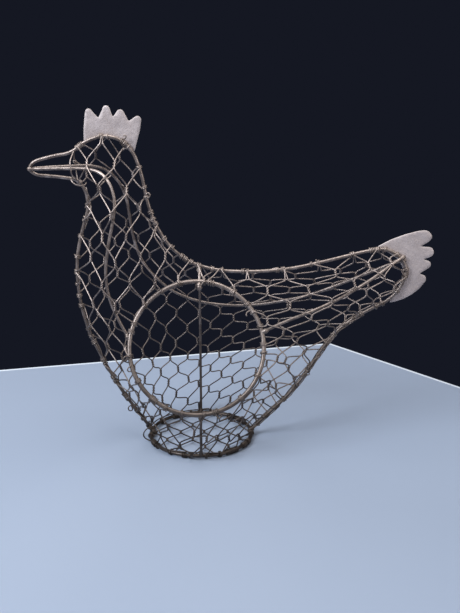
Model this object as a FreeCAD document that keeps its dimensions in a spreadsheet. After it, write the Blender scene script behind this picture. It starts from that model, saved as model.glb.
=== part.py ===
import FreeCAD, Part
import math
import os
from FreeCAD import Vector

# Hen-shaped wire egg basket. X runs from the beak (-X) to the tail (+X), the egg opening faces -Y
# and +Z is up. The origin is the centre of the base ring, on the surface that the basket stands on.

SIZES = {
    # frame wires
    "profile_wire_dia": 3.0,
    "side_wire_dia": 2.8,
    "rib_wire_dia": 2.5,
    "hoop_wire_dia": 4.0,
    "ring_wire_dia": 3.4,
    # base ring and opening hoop
    "ring_radius": 48.5,
    "ring_height": 2.9,
    "hoop_radius": 59.5,
    "hoop_shift_x": -2.9,
    "hoop_shift_y": -38.4,
    "hoop_height": 103.6,
    "hoop_lean": 26.0,
    # sheet metal plates
    "plate_thickness": 1.2,
    "plate_offset": 1.6,
    # hexagonal netting
    "net_wire_dia": 1.2,
    "net_twist_length": 6.5,
    "net_neck_column": 11.0,
    "net_tail_column": 21.0,
    "net_gathered_column": 7.5,
    "net_cell_area": 222.0,
    "far_cell_area": 176.0,
    "net_level": 120.0,
    "net_middle": 4.0,
    "floor_column": 11.5,
    "floor_row": 16.0,
    "floor_twist_length": 5.0,
}

# Bend points of the frame wires. Profile wire: (x, z) in the plane of symmetry.
PROFILE_POINTS = [
    (-45, 3), (-58, 23), (-75, 48), (-90, 77), (-102, 105), (-109, 132), (-111, 160), (-109.5, 182),
    (-103.5, 204), (-97.5, 222), (-98.5, 236), (-105, 247), (-122, 249.5), (-141, 251), (-148, 255.5),
    (-143.5, 262.5), (-128, 267), (-110, 270), (-99, 279), (-83, 285), (-68, 282), (-56.5, 271),
    (-50, 253), (-46.5, 232), (-41, 211), (-28, 187.5), (-8, 171), (18, 163.8), (50, 162.5),
    (84, 165), (118, 172.5), (150, 180.5), (170, 183.5), (184, 176.5), (192, 163), (187, 147),
    (175, 133.5), (152, 122.5), (132, 109), (117, 90), (100, 62), (81, 37.5), (61, 18.5), (46, 3),
]

# Long side wire: (x, y, z) from the opening hoop, up the near side of the neck, round the beak tip,
# back down the far side and along it to the tail end.
SIDE_WIRE_POINTS = [
    (-63.5, -33, 112), (-70, -31.5, 124), (-77, -31, 140), (-81, -31, 158), (-81, -31, 176),
    (-77, -31, 198), (-73, -30.5, 214), (-70.5, -29, 231), (-74, -25, 245), (-83, -18, 255),
    (-97, -11, 257.5), (-118, -8.5, 257.5), (-140, -6.5, 256.8), (-145.5, -1.5, 256.2),
    (-144, 4.5, 256.4), (-132, 8, 257), (-112, 9.5, 257.8), (-96, 11.5, 258.2), (-83, 18.5, 254.5),
    (-72, 26.5, 242), (-66.5, 31, 226), (-64.5, 34, 206), (-62.5, 38, 188), (-56.5, 42.5, 166),
    (-44, 46, 148), (-26, 50, 131), (0, 52.3, 119.8), (30, 50, 116.5), (58, 43.5, 119),
    (82, 34.5, 125.5), (106, 26, 133), (134, 19.5, 145.5), (160, 13.5, 158), (180, 6.5, 168.5),
    (188, 1.8, 171.5),
]

REAR_WIRE_POINTS = [
    (56.9, -32.9, 115.8), (78, -31, 125), (102, -26.5, 132.5), (130, -20, 143.5), (158, -13, 159),
    (178, -6, 171.5), (186.5, -1.8, 175.5),
]

# Ribs: (y, z) in the plane x = 0.
FAR_RIB_POINTS = [
    (1.3, 168.2), (20, 161.5), (37, 147), (50, 124), (57, 98), (59.5, 70), (57.5, 42), (52.5, 17),
    (48.8, 4.4),
]
UPPER_RIB_POINTS = [(-1.3, 168), (-8, 163.5), (-14.5, 153)]
LOWER_RIB_POINTS = [(-64.4, 48.3), (-62.5, 34), (-57, 17), (-49.6, 3.9)]

# Plate outlines in the XZ plane. A pair is a corner, three pairs are an arc: start, crown, end.
COMB_OUTLINE = [
    (-99, 277.5), (-98.6, 290), (-97.2, 301.5),
    [(-96.6, 305), (-93.6, 307.2), (-91.0, 305.2)], (-85.6, 299.2),
    [(-81.9, 306.6), (-78.5, 309.8), (-75.6, 307.0)], (-73.2, 299.8),
    [(-70.0, 304.2), (-66.5, 306.4), (-63.6, 304.4)], (-59.7, 296.4),
    [(-53.6, 300.6), (-50.4, 300.6), (-48.8, 297.4)], (-50.2, 289), (-55.6, 270.5),
    (-68, 281), (-83, 283.5),
]
TAIL_OUTLINE = [
    (163, 184.6), (174.5, 190.8), (188, 195.8), (199.3, 198.7),
    [(205.8, 199.4), (211.6, 196.8), (213.6, 192.4)], (210.8, 188.8), (203.1, 184.5),
    [(212.2, 183.6), (216.2, 179.2), (213.2, 174.5)], (206.6, 172.4),
    [(211.8, 170.7), (214.2, 167.6), (211.6, 163.6)], (203.7, 158.8),
    [(208.2, 157.4), (210.4, 154.4), (208.8, 150)], (204.9, 144.7), (198.2, 139.5),
    (190.7, 135.2), (183.1, 132.6), (177, 131.5),
    (184, 144), (188, 154), (188.3, 164), (183.5, 172.5), (174, 179),
]

# Face strand: where the netting starts, across the beak: (x, y, z) on the far side, from below.
FACE_POINTS = [(-108.5, 12.0, 252.5), (-109, 13.0, 258), (-109.5, 11.0, 264)]

BEND_SHARE = 0.45
ARC_STEPS = 4
ROUND_STEPS = 48
NET_SIDES = 6
EDGE_MARGIN = 4.0
RELAX_STEPS = 160
NET_PRESSURE = 0.42
FIRST_BULGE = 20.0
WRAP_GAP = 0.15
TWIST_GAP = 0.05
CLEARANCE = 0.1
WRAP_SPACING = 2.2

# Extent of the netting along X and Z.
BEAK_CUT = -108.0
CHIN, GULLET, BROW = 240.0, 255.0, 262.0
SPREAD_FROM, SPREAD_OVER = -20.0, 115.0
NARROW_FROM, NARROW_OVER, NARROWING, CROWDING = 100.0, 50.0, 0.9, 0.35
TAIL_FROM, TAIL_OVER = 20.0, 90.0
GATHERED_AT, GATHERED_OVER = 40.0, 110.0
GATHERED_ROWS, GATHERED_ROW_SCALE = 70.0, 0.75
TAIL_ROWS_RISE, TAIL_ROW_STRETCH = 45.0, 0.6
HEAD_COLUMNS, SKIRT_COLUMNS, TAIL_COLUMNS = 12, 3, 14
ROWS = range(-18, 14)
FLOOR_COLUMNS, FLOOR_ROWS = range(-7, 8), range(-5, 6)
NECK_PANEL, NEAR_TAIL_PANEL, FAR_TAIL_PANEL = -58.0, 58.0, 88.0

# How the netting was pulled by hand: levels, leaning twists and small shifts that wander from cell to
# cell. A wander is its steps per column and per row.
TAIL_RISE, LEVEL_RISE, FAR_SHIFT = 0.1, 0.5, 5.0
TWIST_SHORTENING = 0.2
SIDEWAYS, MORE_SIDEWAYS, SIDEWAYS_WANDER = 1.2, 1.3, (2.3, 1.7)
UPWAYS, LESS_UPWAYS, UPWAYS_WANDER = 1.2, 0.3, (1.9, -2.6)
LEAN, LEAN_WANDER = 0.12, (1.1, 2.0)
TAIL_LEAN, TAIL_LEAN_FROM, TAIL_LEAN_OVER = 0.2, 90.0, 40.0
FLOOR_SIDEWAYS, FLOOR_WANDER = 0.8, (1.7, 2.1)
FLOOR_COLUMN_START, FLOOR_ROW_START = 0.25, 0.12


# ---------------------------------------------------------------- paths of straight runs and arcs

def bend(before, corner, after):
    """Start, middle, end and centre of the tangent arc that rounds a corner."""
    back = before - corner
    ahead = after - corner
    shorter = min(back.Length, ahead.Length)
    back.normalize()
    ahead.normalize()
    half_turn = (math.pi - back.getAngle(ahead)) / 2
    trim = BEND_SHARE * shorter
    radius = trim / math.tan(half_turn)
    inward = back + ahead
    inward.normalize()
    centre = corner + inward * (radius / math.cos(half_turn))
    middle = centre - inward * radius
    return corner + back * trim, middle, corner + ahead * trim, centre


def wire_path(points):
    """One wire of straight runs joined by tangent arcs."""
    edges = []
    start = points[0]
    for i in range(1, len(points) - 1):
        arc_start, middle, arc_end, _ = bend(points[i - 1], points[i], points[i + 1])
        edges.append(Part.LineSegment(start, arc_start).toShape())
        edges.append(Part.Arc(arc_start, middle, arc_end).toShape())
        start = arc_end
    edges.append(Part.LineSegment(start, points[-1]).toShape())
    return Part.Wire(edges)


def sampled_path(points):
    """The same path as a list of closely spaced points."""
    samples = [points[0]]
    for i in range(1, len(points) - 1):
        arc_start, _, arc_end, centre = bend(points[i - 1], points[i], points[i + 1])
        first = arc_start - centre
        last = arc_end - centre
        radius = first.Length
        for step in range(ARC_STEPS + 1):
            spoke = first * (1 - step / ARC_STEPS) + last * (step / ARC_STEPS)
            spoke.normalize()
            samples.append(centre + spoke * radius)
    samples.append(points[-1])
    return samples


def circle_points(centre, across, upward, radius, count, first=0.0, last=2 * math.pi):
    """Points on a circle, or on an arc of it, from angle first to angle last."""
    points = []
    for step in range(count + 1):
        angle = first + (last - first) * step / count
        points.append(centre + (across * math.cos(angle) + upward * math.sin(angle)) * radius)
    return points


# ---------------------------------------------------------------- document and its driving sheet

def new_document():
    """The document and the spreadsheet that holds every driving dimension."""
    document = FreeCAD.newDocument("WireHenBasket")
    sheet = document.addObject("Spreadsheet::Sheet", "sizes")
    for row, (alias, value) in enumerate(SIZES.items(), start=1):
        sheet.set("A%d" % row, alias)
        sheet.set("B%d" % row, str(value))
        sheet.setAlias("B%d" % row, alias)
    document.recompute()
    return document, sheet


def swept_wire(document, name, points, diameter_alias):
    """A round wire swept along a path; its radius is bound to the sheet."""
    path = document.addObject("Part::Feature", name + "_path")
    path.Shape = wire_path(points)
    section = document.addObject("Part::Circle", name + "_section")
    section.setExpression("Radius", "sizes.%s / 2" % diameter_alias)
    along = points[1] - points[0]
    section.Placement = FreeCAD.Placement(points[0], FreeCAD.Rotation(Vector(0, 0, 1), along))
    sweep = document.addObject("Part::Sweep", name)
    sweep.Sections = [section]
    sweep.Spine = (path, ["Edge%d" % (i + 1) for i in range(len(path.Shape.Edges))])
    sweep.Solid = True
    sweep.Frenet = False
    sweep.Label = name
    return sweep


# ---------------------------------------------------------------- frame

def make_base_ring(document):
    ring = document.addObject("Part::Torus", "base_ring")
    ring.setExpression("Radius1", "sizes.ring_radius")
    ring.setExpression("Radius2", "sizes.ring_wire_dia / 2")
    ring.setExpression("Placement.Base.z", "sizes.ring_height")
    ring.Label = "base_ring"
    return ring


def make_opening_hoop(document, sheet):
    hoop = document.addObject("Part::Torus", "opening_hoop")
    hoop.setExpression("Radius1", "sizes.hoop_radius")
    hoop.setExpression("Radius2", "sizes.hoop_wire_dia / 2")
    upright = FreeCAD.Rotation(Vector(1, 0, 0), 90 - sheet.hoop_lean)
    hoop.Placement = FreeCAD.Placement(Vector(0, 0, 0), upright)
    hoop.setExpression("Placement.Base.x", "sizes.hoop_shift_x")
    hoop.setExpression("Placement.Base.y", "sizes.hoop_shift_y")
    hoop.setExpression("Placement.Base.z", "sizes.hoop_height")
    hoop.Label = "opening_hoop"
    return hoop


def make_frame_wires(document):
    profile = [Vector(x, 0, z) for x, z in PROFILE_POINTS]
    side = [Vector(*point) for point in SIDE_WIRE_POINTS]
    rear = [Vector(*point) for point in REAR_WIRE_POINTS]
    far_rib = [Vector(0, y, z) for y, z in FAR_RIB_POINTS]
    upper_rib = [Vector(0, y, z) for y, z in UPPER_RIB_POINTS]
    lower_rib = [Vector(0, y, z) for y, z in LOWER_RIB_POINTS]
    return [
        swept_wire(document, "profile_wire", profile, "profile_wire_dia"),
        swept_wire(document, "side_wire", side, "side_wire_dia"),
        swept_wire(document, "rear_side_wire", rear, "side_wire_dia"),
        swept_wire(document, "far_rib", far_rib, "rib_wire_dia"),
        swept_wire(document, "upper_rib", upper_rib, "rib_wire_dia"),
        swept_wire(document, "lower_rib", lower_rib, "rib_wire_dia"),
    ]


# ---------------------------------------------------------------- sheet metal plates

def outline_pieces(stations):
    """Closed outline as straight edges (two points) and round lobes (three points)."""
    pieces = []
    corner = stations[-1]
    for station in stations:
        if isinstance(station, list):
            pieces.append((corner, station[0]))
            pieces.append(tuple(station))
            corner = station[-1]
        else:
            pieces.append((corner, station))
            corner = station
    return pieces


def make_plate(document, name, stations):
    """A flat plate padded from a sketch in the XZ plane, on the far side of the profile wire."""
    body = document.addObject("PartDesign::Body", name)
    body.Label = name
    sketch = body.newObject("Sketcher::SketchObject", name + "_outline")
    plane = [f for f in body.Origin.OriginFeatures if f.Role == "XZ_Plane"][0]
    sketch.AttachmentSupport = (plane, [""])
    sketch.MapMode = "FlatFace"
    for piece in outline_pieces(stations):
        ends = [Vector(x, z, 0) for x, z in piece]
        if len(ends) == 2:
            sketch.addGeometry(Part.LineSegment(*ends))
        else:
            sketch.addGeometry(Part.Arc(*ends))
    pad = body.newObject("PartDesign::Pad", name + "_pad")
    pad.Profile = sketch
    pad.setExpression("Length", "sizes.plate_thickness")
    pad.Reversed = True
    body.setExpression("Placement.Base.y", "sizes.plate_offset")
    return body


def make_plates(document):
    return [
        make_plate(document, "comb_plate", COMB_OUTLINE),
        make_plate(document, "tail_plate", TAIL_OUTLINE),
    ]


# ---------------------------------------------------------------- netting layout

def crossing(a, b, c, d):
    """Where the flat segments a-b and c-d cross, as fractions of each, or None."""
    rx, ry = b[0] - a[0], b[1] - a[1]
    sx, sy = d[0] - c[0], d[1] - c[1]
    cross = rx * sy - ry * sx
    if abs(cross) < 1e-9:
        return None
    t = ((c[0] - a[0]) * sy - (c[1] - a[1]) * sx) / cross
    u = ((c[0] - a[0]) * ry - (c[1] - a[1]) * rx) / cross
    if 0 <= t <= 1 and 0 <= u <= 1:
        return t, u
    return None


def inside(point, polygon):
    """Whether a flat point is inside a closed flat polygon."""
    odd = False
    for a, b in zip(polygon, polygon[1:] + polygon[:1]):
        if (a[1] > point[1]) != (b[1] > point[1]):
            if point[0] < a[0] + (b[0] - a[0]) * (point[1] - a[1]) / (b[1] - a[1]):
                odd = not odd
    return odd


class Net:
    """Hexagonal netting laid flat over an outline, hung on its wires and drawn tight.

    The net is laid out in a flat view: flat(point) gives a space point's two view coordinates, and
    the third one, the height of the net above that view, is found by drawing the net tight between
    its edge wires and over the frame wires that it crosses.
    """

    def __init__(self, flat, lift, position, edges, hole, crossed, side):
        self.flat = flat
        self.lift = lift
        self.position = position
        self.edges = edges
        self.hole = hole
        self.crossed = crossed
        self.side = side
        self.border = []
        for wire in edges:
            self.border += [flat(point) for point in wire["points"][:-1]]
        self.places = {}
        self.heights = {}
        self.strands = []
        self.anchors = {}

    def covers(self, place):
        """Whether a place is on the net and clear of the wires at its edge."""
        if not inside(place, self.border):
            return False
        if self.hole and inside(place, [self.flat(p) for p in self.hole["points"]]):
            return False
        return self.nearest_edge(place)[0] > EDGE_MARGIN

    def nearest_edge(self, place):
        """Closest point of the edge wires: (distance, wire, point, along)."""
        best = None
        for wire in self.edges + ([self.hole] if self.hole else []):
            points = wire["points"]
            for p, q in zip(points[:-1], points[1:]):
                a, b = self.flat(p), self.flat(q)
                run = (b[0] - a[0], b[1] - a[1])
                length = run[0] ** 2 + run[1] ** 2
                t = ((place[0] - a[0]) * run[0] + (place[1] - a[1]) * run[1]) / max(length, 1e-9)
                t = min(1.0, max(0.0, t))
                away = math.hypot(a[0] + run[0] * t - place[0], a[1] + run[1] * t - place[1])
                if best is None or away < best[0]:
                    best = (away, wire, p + (q - p) * t, q - p)
        return best

    def edge_hit(self, a, b):
        """First edge wire between a place on the net and one off it: (fraction, wire, point, along)."""
        best = None
        for wire in self.edges + ([self.hole] if self.hole else []):
            points = wire["points"]
            for p, q in zip(points[:-1], points[1:]):
                hit = crossing(a, b, self.flat(p), self.flat(q))
                if hit and (best is None or hit[0] < best[0]):
                    best = (hit[0], wire, p + (q - p) * hit[1], q - p)
        return best

    def weave(self, columns, rows):
        """Run each strand up the net and keep the stretches that lie inside the outline."""
        for strand in columns:
            chain = []
            previous = None
            for row in rows:
                column = strand if (strand - row) % 2 == 0 else strand + 1
                for end in (0, 1):
                    key = (column, row, end)
                    place = self.position(column, row, end)
                    if self.covers(place):
                        if not chain and previous is not None:
                            self.hang(chain, place, previous)
                        self.places[key] = place
                        chain.append((key, 1 if column == strand else -1))
                    elif chain:
                        self.hang(chain, self.places[chain[-1][0]], place)
                        self.strands.append(chain)
                        chain = []
                    previous = place
        self.strands = [chain for chain in self.strands if len(chain) > 2]

    def hang(self, chain, on_net, off_net):
        """End a strand on the edge wire that it reaches."""
        hit = self.edge_hit(on_net, off_net) or self.nearest_edge(off_net)
        key = ("anchor", len(self.anchors))
        self.anchors[key] = {"wire": hit[1], "point": hit[2], "along": hit[3]}
        self.places[key] = self.flat(hit[2])
        self.heights[key] = self.side * self.lift(hit[2])
        chain.append((key, 0))

    def draw_tight(self):
        """Find every height: the mean of its neighbours, pushed out a little, over crossed wires."""
        joined = {}
        stops = []
        for chain in self.strands:
            for (a, _), (b, _) in zip(chain[:-1], chain[1:]):
                joined.setdefault(a, []).append(b)
                joined.setdefault(b, []).append(a)
                stops += self.wires_under(a, b)
        free = [key for key in joined if key not in self.anchors]
        for key in free:
            self.heights[key] = FIRST_BULGE
        for _ in range(RELAX_STEPS):
            for key in free:
                near = joined[key]
                self.heights[key] = sum(self.heights[n] for n in near) / len(near) + NET_PRESSURE
            for a, b, t, least in stops:
                short = least - self.heights[a] * (1 - t) - self.heights[b] * t
                if short > 0:
                    for key in (a, b):
                        if key not in self.anchors:
                            self.heights[key] += short

    def wires_under(self, a, b):
        """Frame wires that the stretch a-b of a strand passes over."""
        found = []
        for wire in self.crossed:
            points = wire["points"]
            for p, q in zip(points[:-1], points[1:]):
                hit = crossing(self.places[a], self.places[b], self.flat(p), self.flat(q))
                if hit:
                    level = self.side * self.lift(p + (q - p) * hit[1])
                    found.append((a, b, hit[0], level + wire["radius"] + self.wire_radius + CLEARANCE))
        return found

    def space(self, key):
        """The space point of a key."""
        if key in self.anchors:
            return self.anchors[key]["point"]
        return self.unflatten(self.places[key], self.side * self.heights[key])

    def strand_points(self, chain):
        """The centre line of one strand: twisted pairs lie side by side, ends stop at the wrap."""
        points = []
        beside = self.wire_radius + TWIST_GAP
        for index, (key, hand) in enumerate(chain):
            point = self.space(key)
            if key in self.anchors:
                other = self.space(chain[1][0] if index == 0 else chain[-2][0])
                along = Vector(self.anchors[key]["along"])
                along.normalize()
                towards = other - point
                towards = towards - along * towards.dot(along)
                towards.normalize()
                gap = self.anchors[key]["wire"]["radius"] + 2 * self.wire_radius
                points.append(point + towards * gap)
            else:
                points.append(point + self.across * (hand * beside))
        return points


def eased(value):
    """0 below 0, 1 above 1 and a smooth step in between."""
    value = min(1.0, max(0.0, value))
    return value * value * (3 - 2 * value)


def narrowing(x):
    """0 over the body and 1 at the tail end, where the netting is drawn together."""
    return eased((x - NARROW_FROM) / NARROW_OVER)


def wander(steps, column, row, phase=0.0):
    """A number between -1 and 1 that changes from cell to cell."""
    return math.sin(steps[0] * column + steps[1] * row + phase)


def column_width(sheet, x):
    """Half the width of a cell: narrow at the neck, pulled long over the back, narrow at the tail."""
    spread = eased((x - SPREAD_FROM) / SPREAD_OVER)
    spread *= 1 - NARROWING * narrowing(x)
    return sheet.net_neck_column + (sheet.net_tail_column - sheet.net_neck_column) * spread


def column_places(sheet, middle):
    """X of every column of the net, drawn out over the body and gathered near the base."""
    drawn, gathered = {0: middle}, {0: middle}
    for column in range(TAIL_COLUMNS):
        drawn[column + 1] = drawn[column] + column_width(sheet, drawn[column])
        gathered[column + 1] = gathered[column] + sheet.net_neck_column
    for column in range(0, -HEAD_COLUMNS, -1):
        in_skirt = column > -SKIRT_COLUMNS
        width = sheet.net_neck_column if in_skirt else sheet.net_gathered_column
        drawn[column - 1] = drawn[column] - sheet.net_neck_column
        gathered[column - 1] = gathered[column] - width
    return drawn, gathered


def side_net(sheet, sign, edges, hole, crossed, shift):
    """Netting of one flank, laid out in the side view. sign is -1 for the near flank, 1 for the far."""
    drawn, gathered = column_places(sheet, sheet.net_middle + shift)
    cell_area = sheet.net_cell_area if sign < 0 else sheet.far_cell_area

    def position(column, row, end):
        column = min(max(column, -HEAD_COLUMNS), TAIL_COLUMNS)
        x = drawn[column]
        tail = min(1.0, max(0.0, (x - TAIL_FROM) / TAIL_OVER))
        level = sheet.net_level + TAIL_RISE * max(0.0, x - TAIL_FROM) + LEVEL_RISE * shift
        z = level + row * cell_area * (1 - CROWDING * narrowing(x)) / column_width(sheet, x)
        turning = GATHERED_ROWS + TAIL_ROWS_RISE * tail
        if z < turning:
            z = turning - (turning - z) * (GATHERED_ROW_SCALE + TAIL_ROW_STRETCH * tail)
        half = (end - 0.5) * sheet.net_twist_length * (1 - TWIST_SHORTENING * tail)
        z += half + (UPWAYS - LESS_UPWAYS * tail) * wander(UPWAYS_WANDER, column, row, shift)
        x = gathered[column] + (x - gathered[column]) * eased((z - GATHERED_AT) / GATHERED_OVER)
        x += (SIDEWAYS + MORE_SIDEWAYS * tail) * wander(SIDEWAYS_WANDER, column, row, shift)
        lean = LEAN * wander(LEAN_WANDER, column, row)
        lean -= TAIL_LEAN * tail * eased((z - TAIL_LEAN_FROM) / TAIL_LEAN_OVER)
        return (x + lean * half, z)

    net = Net(
        lambda point: (point.x, point.z), lambda point: point.y, position,
        edges, hole, crossed, sign,
    )
    net.unflatten = lambda place, height: Vector(place[0], height, place[1])
    net.across = Vector(1, 0, 0)
    net.wire_radius = sheet.net_wire_dia / 2
    net.weave(range(-HEAD_COLUMNS, TAIL_COLUMNS), ROWS)
    net.draw_tight()
    return net


def floor_net(sheet, edges):
    """Netting across the base ring, laid out in the plan view."""

    def position(column, row, end):
        x = sheet.floor_column * (column + FLOOR_COLUMN_START)
        x += FLOOR_SIDEWAYS * wander(FLOOR_WANDER, column, row)
        return (x, sheet.floor_row * (row + FLOOR_ROW_START) + (end - 0.5) * sheet.floor_twist_length)

    net = Net(
        lambda point: (point.x, point.y), lambda point: point.z, position, edges, None, [], 1,
    )
    net.unflatten = lambda place, height: Vector(place[0], place[1], sheet.ring_height)
    net.across = Vector(1, 0, 0)
    net.wire_radius = sheet.net_wire_dia / 2
    net.weave(FLOOR_COLUMNS, FLOOR_ROWS)
    net.draw_tight()
    return net


# ---------------------------------------------------------------- netting solids

def polygon_tube(points, radius):
    """A many-sided wire along a polyline, mitred at every point, as one closed solid."""
    first = points[1] - points[0]
    first.normalize()
    across = first.cross(Vector(0, 1, 0.3))
    across.normalize()
    upward = first.cross(across)
    ring = circle_points(points[0], across, upward, radius, NET_SIDES)[:-1]
    rings = [ring]
    for i in range(1, len(points)):
        along = points[i] - points[i - 1]
        along.normalize()
        normal = Vector(along)
        if i < len(points) - 1:
            ahead = points[i + 1] - points[i]
            ahead.normalize()
            normal = along + ahead
        ring = [p + along * ((points[i] - p).dot(normal) / along.dot(normal)) for p in ring]
        rings.append(ring)
    faces = [Part.Face(Part.makePolygon(end + end[:1])) for end in (rings[0], rings[-1])]
    for low, high in zip(rings[:-1], rings[1:]):
        for i in range(NET_SIDES):
            j = (i + 1) % NET_SIDES
            corners = [low[i], low[j], high[j], high[i], low[i]]
            faces.append(Part.Face(Part.makePolygon(corners)))
    solid = Part.Solid(Part.Shell(faces))
    if solid.Volume < 0:
        solid.reverse()
    return solid


def add_group(document, name, solids):
    """One node of separate solids."""
    feature = document.addObject("Part::Feature", name)
    feature.Shape = Part.makeCompound(solids)
    feature.Label = name
    return feature


def panel_of(net, chain, hoop):
    """Name of the panel that a strand of a flank belongs to, by where its middle lies."""
    points = [net.space(key) for key, _ in chain]
    middle = sum((p.x for p in points)) / len(points)
    height = sum((p.z for p in points)) / len(points)
    if net.side > 0:
        if middle < NECK_PANEL:
            return "far_neck_net"
        return "far_body_net" if middle < FAR_TAIL_PANEL else "far_tail_net"
    if middle < NECK_PANEL:
        return "near_neck_net"
    if middle > NEAR_TAIL_PANEL:
        return "near_tail_net"
    return "near_back_net" if height > hoop else "near_skirt_net"


def make_netting(document, sheet, near, far, floor):
    """Nodes of netting: every strand is a solid of its own."""
    panels = {}
    radius = sheet.net_wire_dia / 2
    for net in (near, far):
        for chain in net.strands:
            name = panel_of(net, chain, sheet.hoop_height)
            panels.setdefault(name, []).append(polygon_tube(net.strand_points(chain), radius))
        face = polygon_tube(net.edges[1]["points"], radius)
        panels["near_neck_net" if net.side < 0 else "far_neck_net"].append(face)
    for chain in floor.strands:
        panels.setdefault("floor_net", []).append(polygon_tube(floor.strand_points(chain), radius))
    return [add_group(document, name, solids) for name, solids in sorted(panels.items())]


def make_wraps(document, sheet, nets):
    """Where strands end, the net wire is wound round the frame wire: two turns side by side."""
    radius = sheet.net_wire_dia / 2
    turn = sheet.net_wire_dia + WRAP_GAP
    groups = {}
    placed = {}
    for net in nets:
        for anchor in net.anchors.values():
            wire = anchor["wire"]
            if wire["wraps"] is None:
                continue
            along = Vector(anchor["along"])
            along.normalize()
            taken = placed.setdefault(wire["frame"], [])
            if any((anchor["point"] - other).Length < WRAP_SPACING * turn for other in taken):
                continue
            taken.append(anchor["point"])
            for offset in (-0.5, 0.5):
                centre = anchor["point"] + along * (offset * turn)
                coil = Part.makeTorus(wire["radius"] + radius, radius, centre, along)
                groups.setdefault(wire["wraps"], []).append(coil)
    return [add_group(document, name, coils) for name, coils in sorted(groups.items())]


# ---------------------------------------------------------------- edges that the netting hangs on

def frame_edges(sheet):
    """The frame wires as sampled paths: closed outlines for both flanks, hoop and crossed wires."""
    profile_radius = sheet.profile_wire_dia / 2
    side_radius = sheet.side_wire_dia / 2
    rib_radius = sheet.rib_wire_dia / 2
    profile = sampled_path([Vector(x, 0, z) for x, z in PROFILE_POINTS])
    throat = [p for p in profile[:len(profile) // 2] if p.z < GULLET and (p.x > BEAK_CUT or p.z < CHIN)]
    back = [p for p in profile[len(profile) // 4:] if p.z > BROW or p.x > BEAK_CUT]
    back = [p for p in back if p not in throat and p.x > BEAK_CUT]
    tail_index = max(range(len(back)), key=lambda i: back[i].x)
    spine = back[:tail_index + 1]
    under_tail = back[tail_index:]
    centre = Vector(0, 0, sheet.ring_height)
    east, north = Vector(1, 0, 0), Vector(0, 1, 0)

    def edge(points, radius, wraps, frame):
        return {"points": points, "radius": radius, "wraps": wraps, "frame": frame}

    def outline(sign):
        arc = circle_points(centre, east, north * sign, sheet.ring_radius, ROUND_STEPS // 2, 0.0, math.pi)
        ring = edge([under_tail[-1]] + arc + [throat[0]], sheet.ring_wire_dia / 2, "base_wraps", "ring")
        face = [throat[-1]] + [Vector(x, sign * y, z) for x, y, z in FACE_POINTS] + [spine[0]]
        return [
            edge(throat, profile_radius, "breast_wraps", "profile"),
            edge(face, sheet.net_wire_dia / 2, None, "face"),
            edge(spine, profile_radius, "spine_wraps", "profile"),
            edge(under_tail, profile_radius, "under_tail_wraps", "profile"),
            ring,
        ]

    lean = math.radians(sheet.hoop_lean)
    hoop_centre = Vector(sheet.hoop_shift_x, sheet.hoop_shift_y, sheet.hoop_height)
    upward = Vector(0, math.sin(lean), math.cos(lean))
    hoop_points = circle_points(hoop_centre, east, upward, sheet.hoop_radius, ROUND_STEPS)
    hoop = edge(hoop_points, sheet.hoop_wire_dia / 2, "hoop_wraps", "hoop")
    floor_ring = circle_points(centre, east, north, sheet.ring_radius, ROUND_STEPS)
    floor = edge(floor_ring, sheet.ring_wire_dia / 2, "base_wraps", "ring")

    side = sampled_path([Vector(*point) for point in SIDE_WIRE_POINTS])
    tip = min(range(len(side)), key=lambda i: side[i].x)
    rear = sampled_path([Vector(*point) for point in REAR_WIRE_POINTS])
    far_crossed = [
        edge(side[tip:], side_radius, None, "side"),
        edge(sampled_path([Vector(0, y, z) for y, z in FAR_RIB_POINTS]), rib_radius, None, "rib"),
    ]
    near_crossed = [
        edge(side[:tip], side_radius, None, "side"),
        edge(rear, side_radius, None, "rear"),
        edge(sampled_path([Vector(0, y, z) for y, z in UPPER_RIB_POINTS]), rib_radius, None, "rib"),
        edge(sampled_path([Vector(0, y, z) for y, z in LOWER_RIB_POINTS]), rib_radius, None, "rib"),
    ]
    return outline, hoop, floor, near_crossed, far_crossed


# ---------------------------------------------------------------- checks and export

def check(document, nodes):
    for item in document.Objects:
        if "Invalid" in item.State or "Error" in item.State:
            raise RuntimeError("%s did not build" % item.Label)
    for node in nodes:
        if node.Shape.isNull() or not node.Shape.isValid():
            raise RuntimeError("%s has no valid shape" % node.Label)


def export(nodes):
    os.makedirs("parts", exist_ok=True)
    for node in nodes:
        node.Shape.exportStep("parts/%s.step" % node.Label)
        print("%-18s %4d solids  %9.1f mm3" % (node.Label, len(node.Shape.Solids), node.Shape.Volume))


def main():
    document, sheet = new_document()
    nodes = [make_base_ring(document), make_opening_hoop(document, sheet)]
    nodes += make_frame_wires(document)
    nodes += make_plates(document)
    outline, hoop, floor_edge, near_crossed, far_crossed = frame_edges(sheet)
    near = side_net(sheet, -1, outline(-1), hoop, near_crossed, 0.0)
    far = side_net(sheet, 1, outline(1), None, far_crossed, FAR_SHIFT)
    floor = floor_net(sheet, [floor_edge])
    nodes += make_netting(document, sheet, near, far, floor)
    nodes += make_wraps(document, sheet, [near, far, floor])
    document.recompute()
    check(document, nodes)
    export(nodes)


main()
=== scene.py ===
import math
import random

import bpy
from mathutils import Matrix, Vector
from mathutils.geometry import delaunay_2d_cdt


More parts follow.
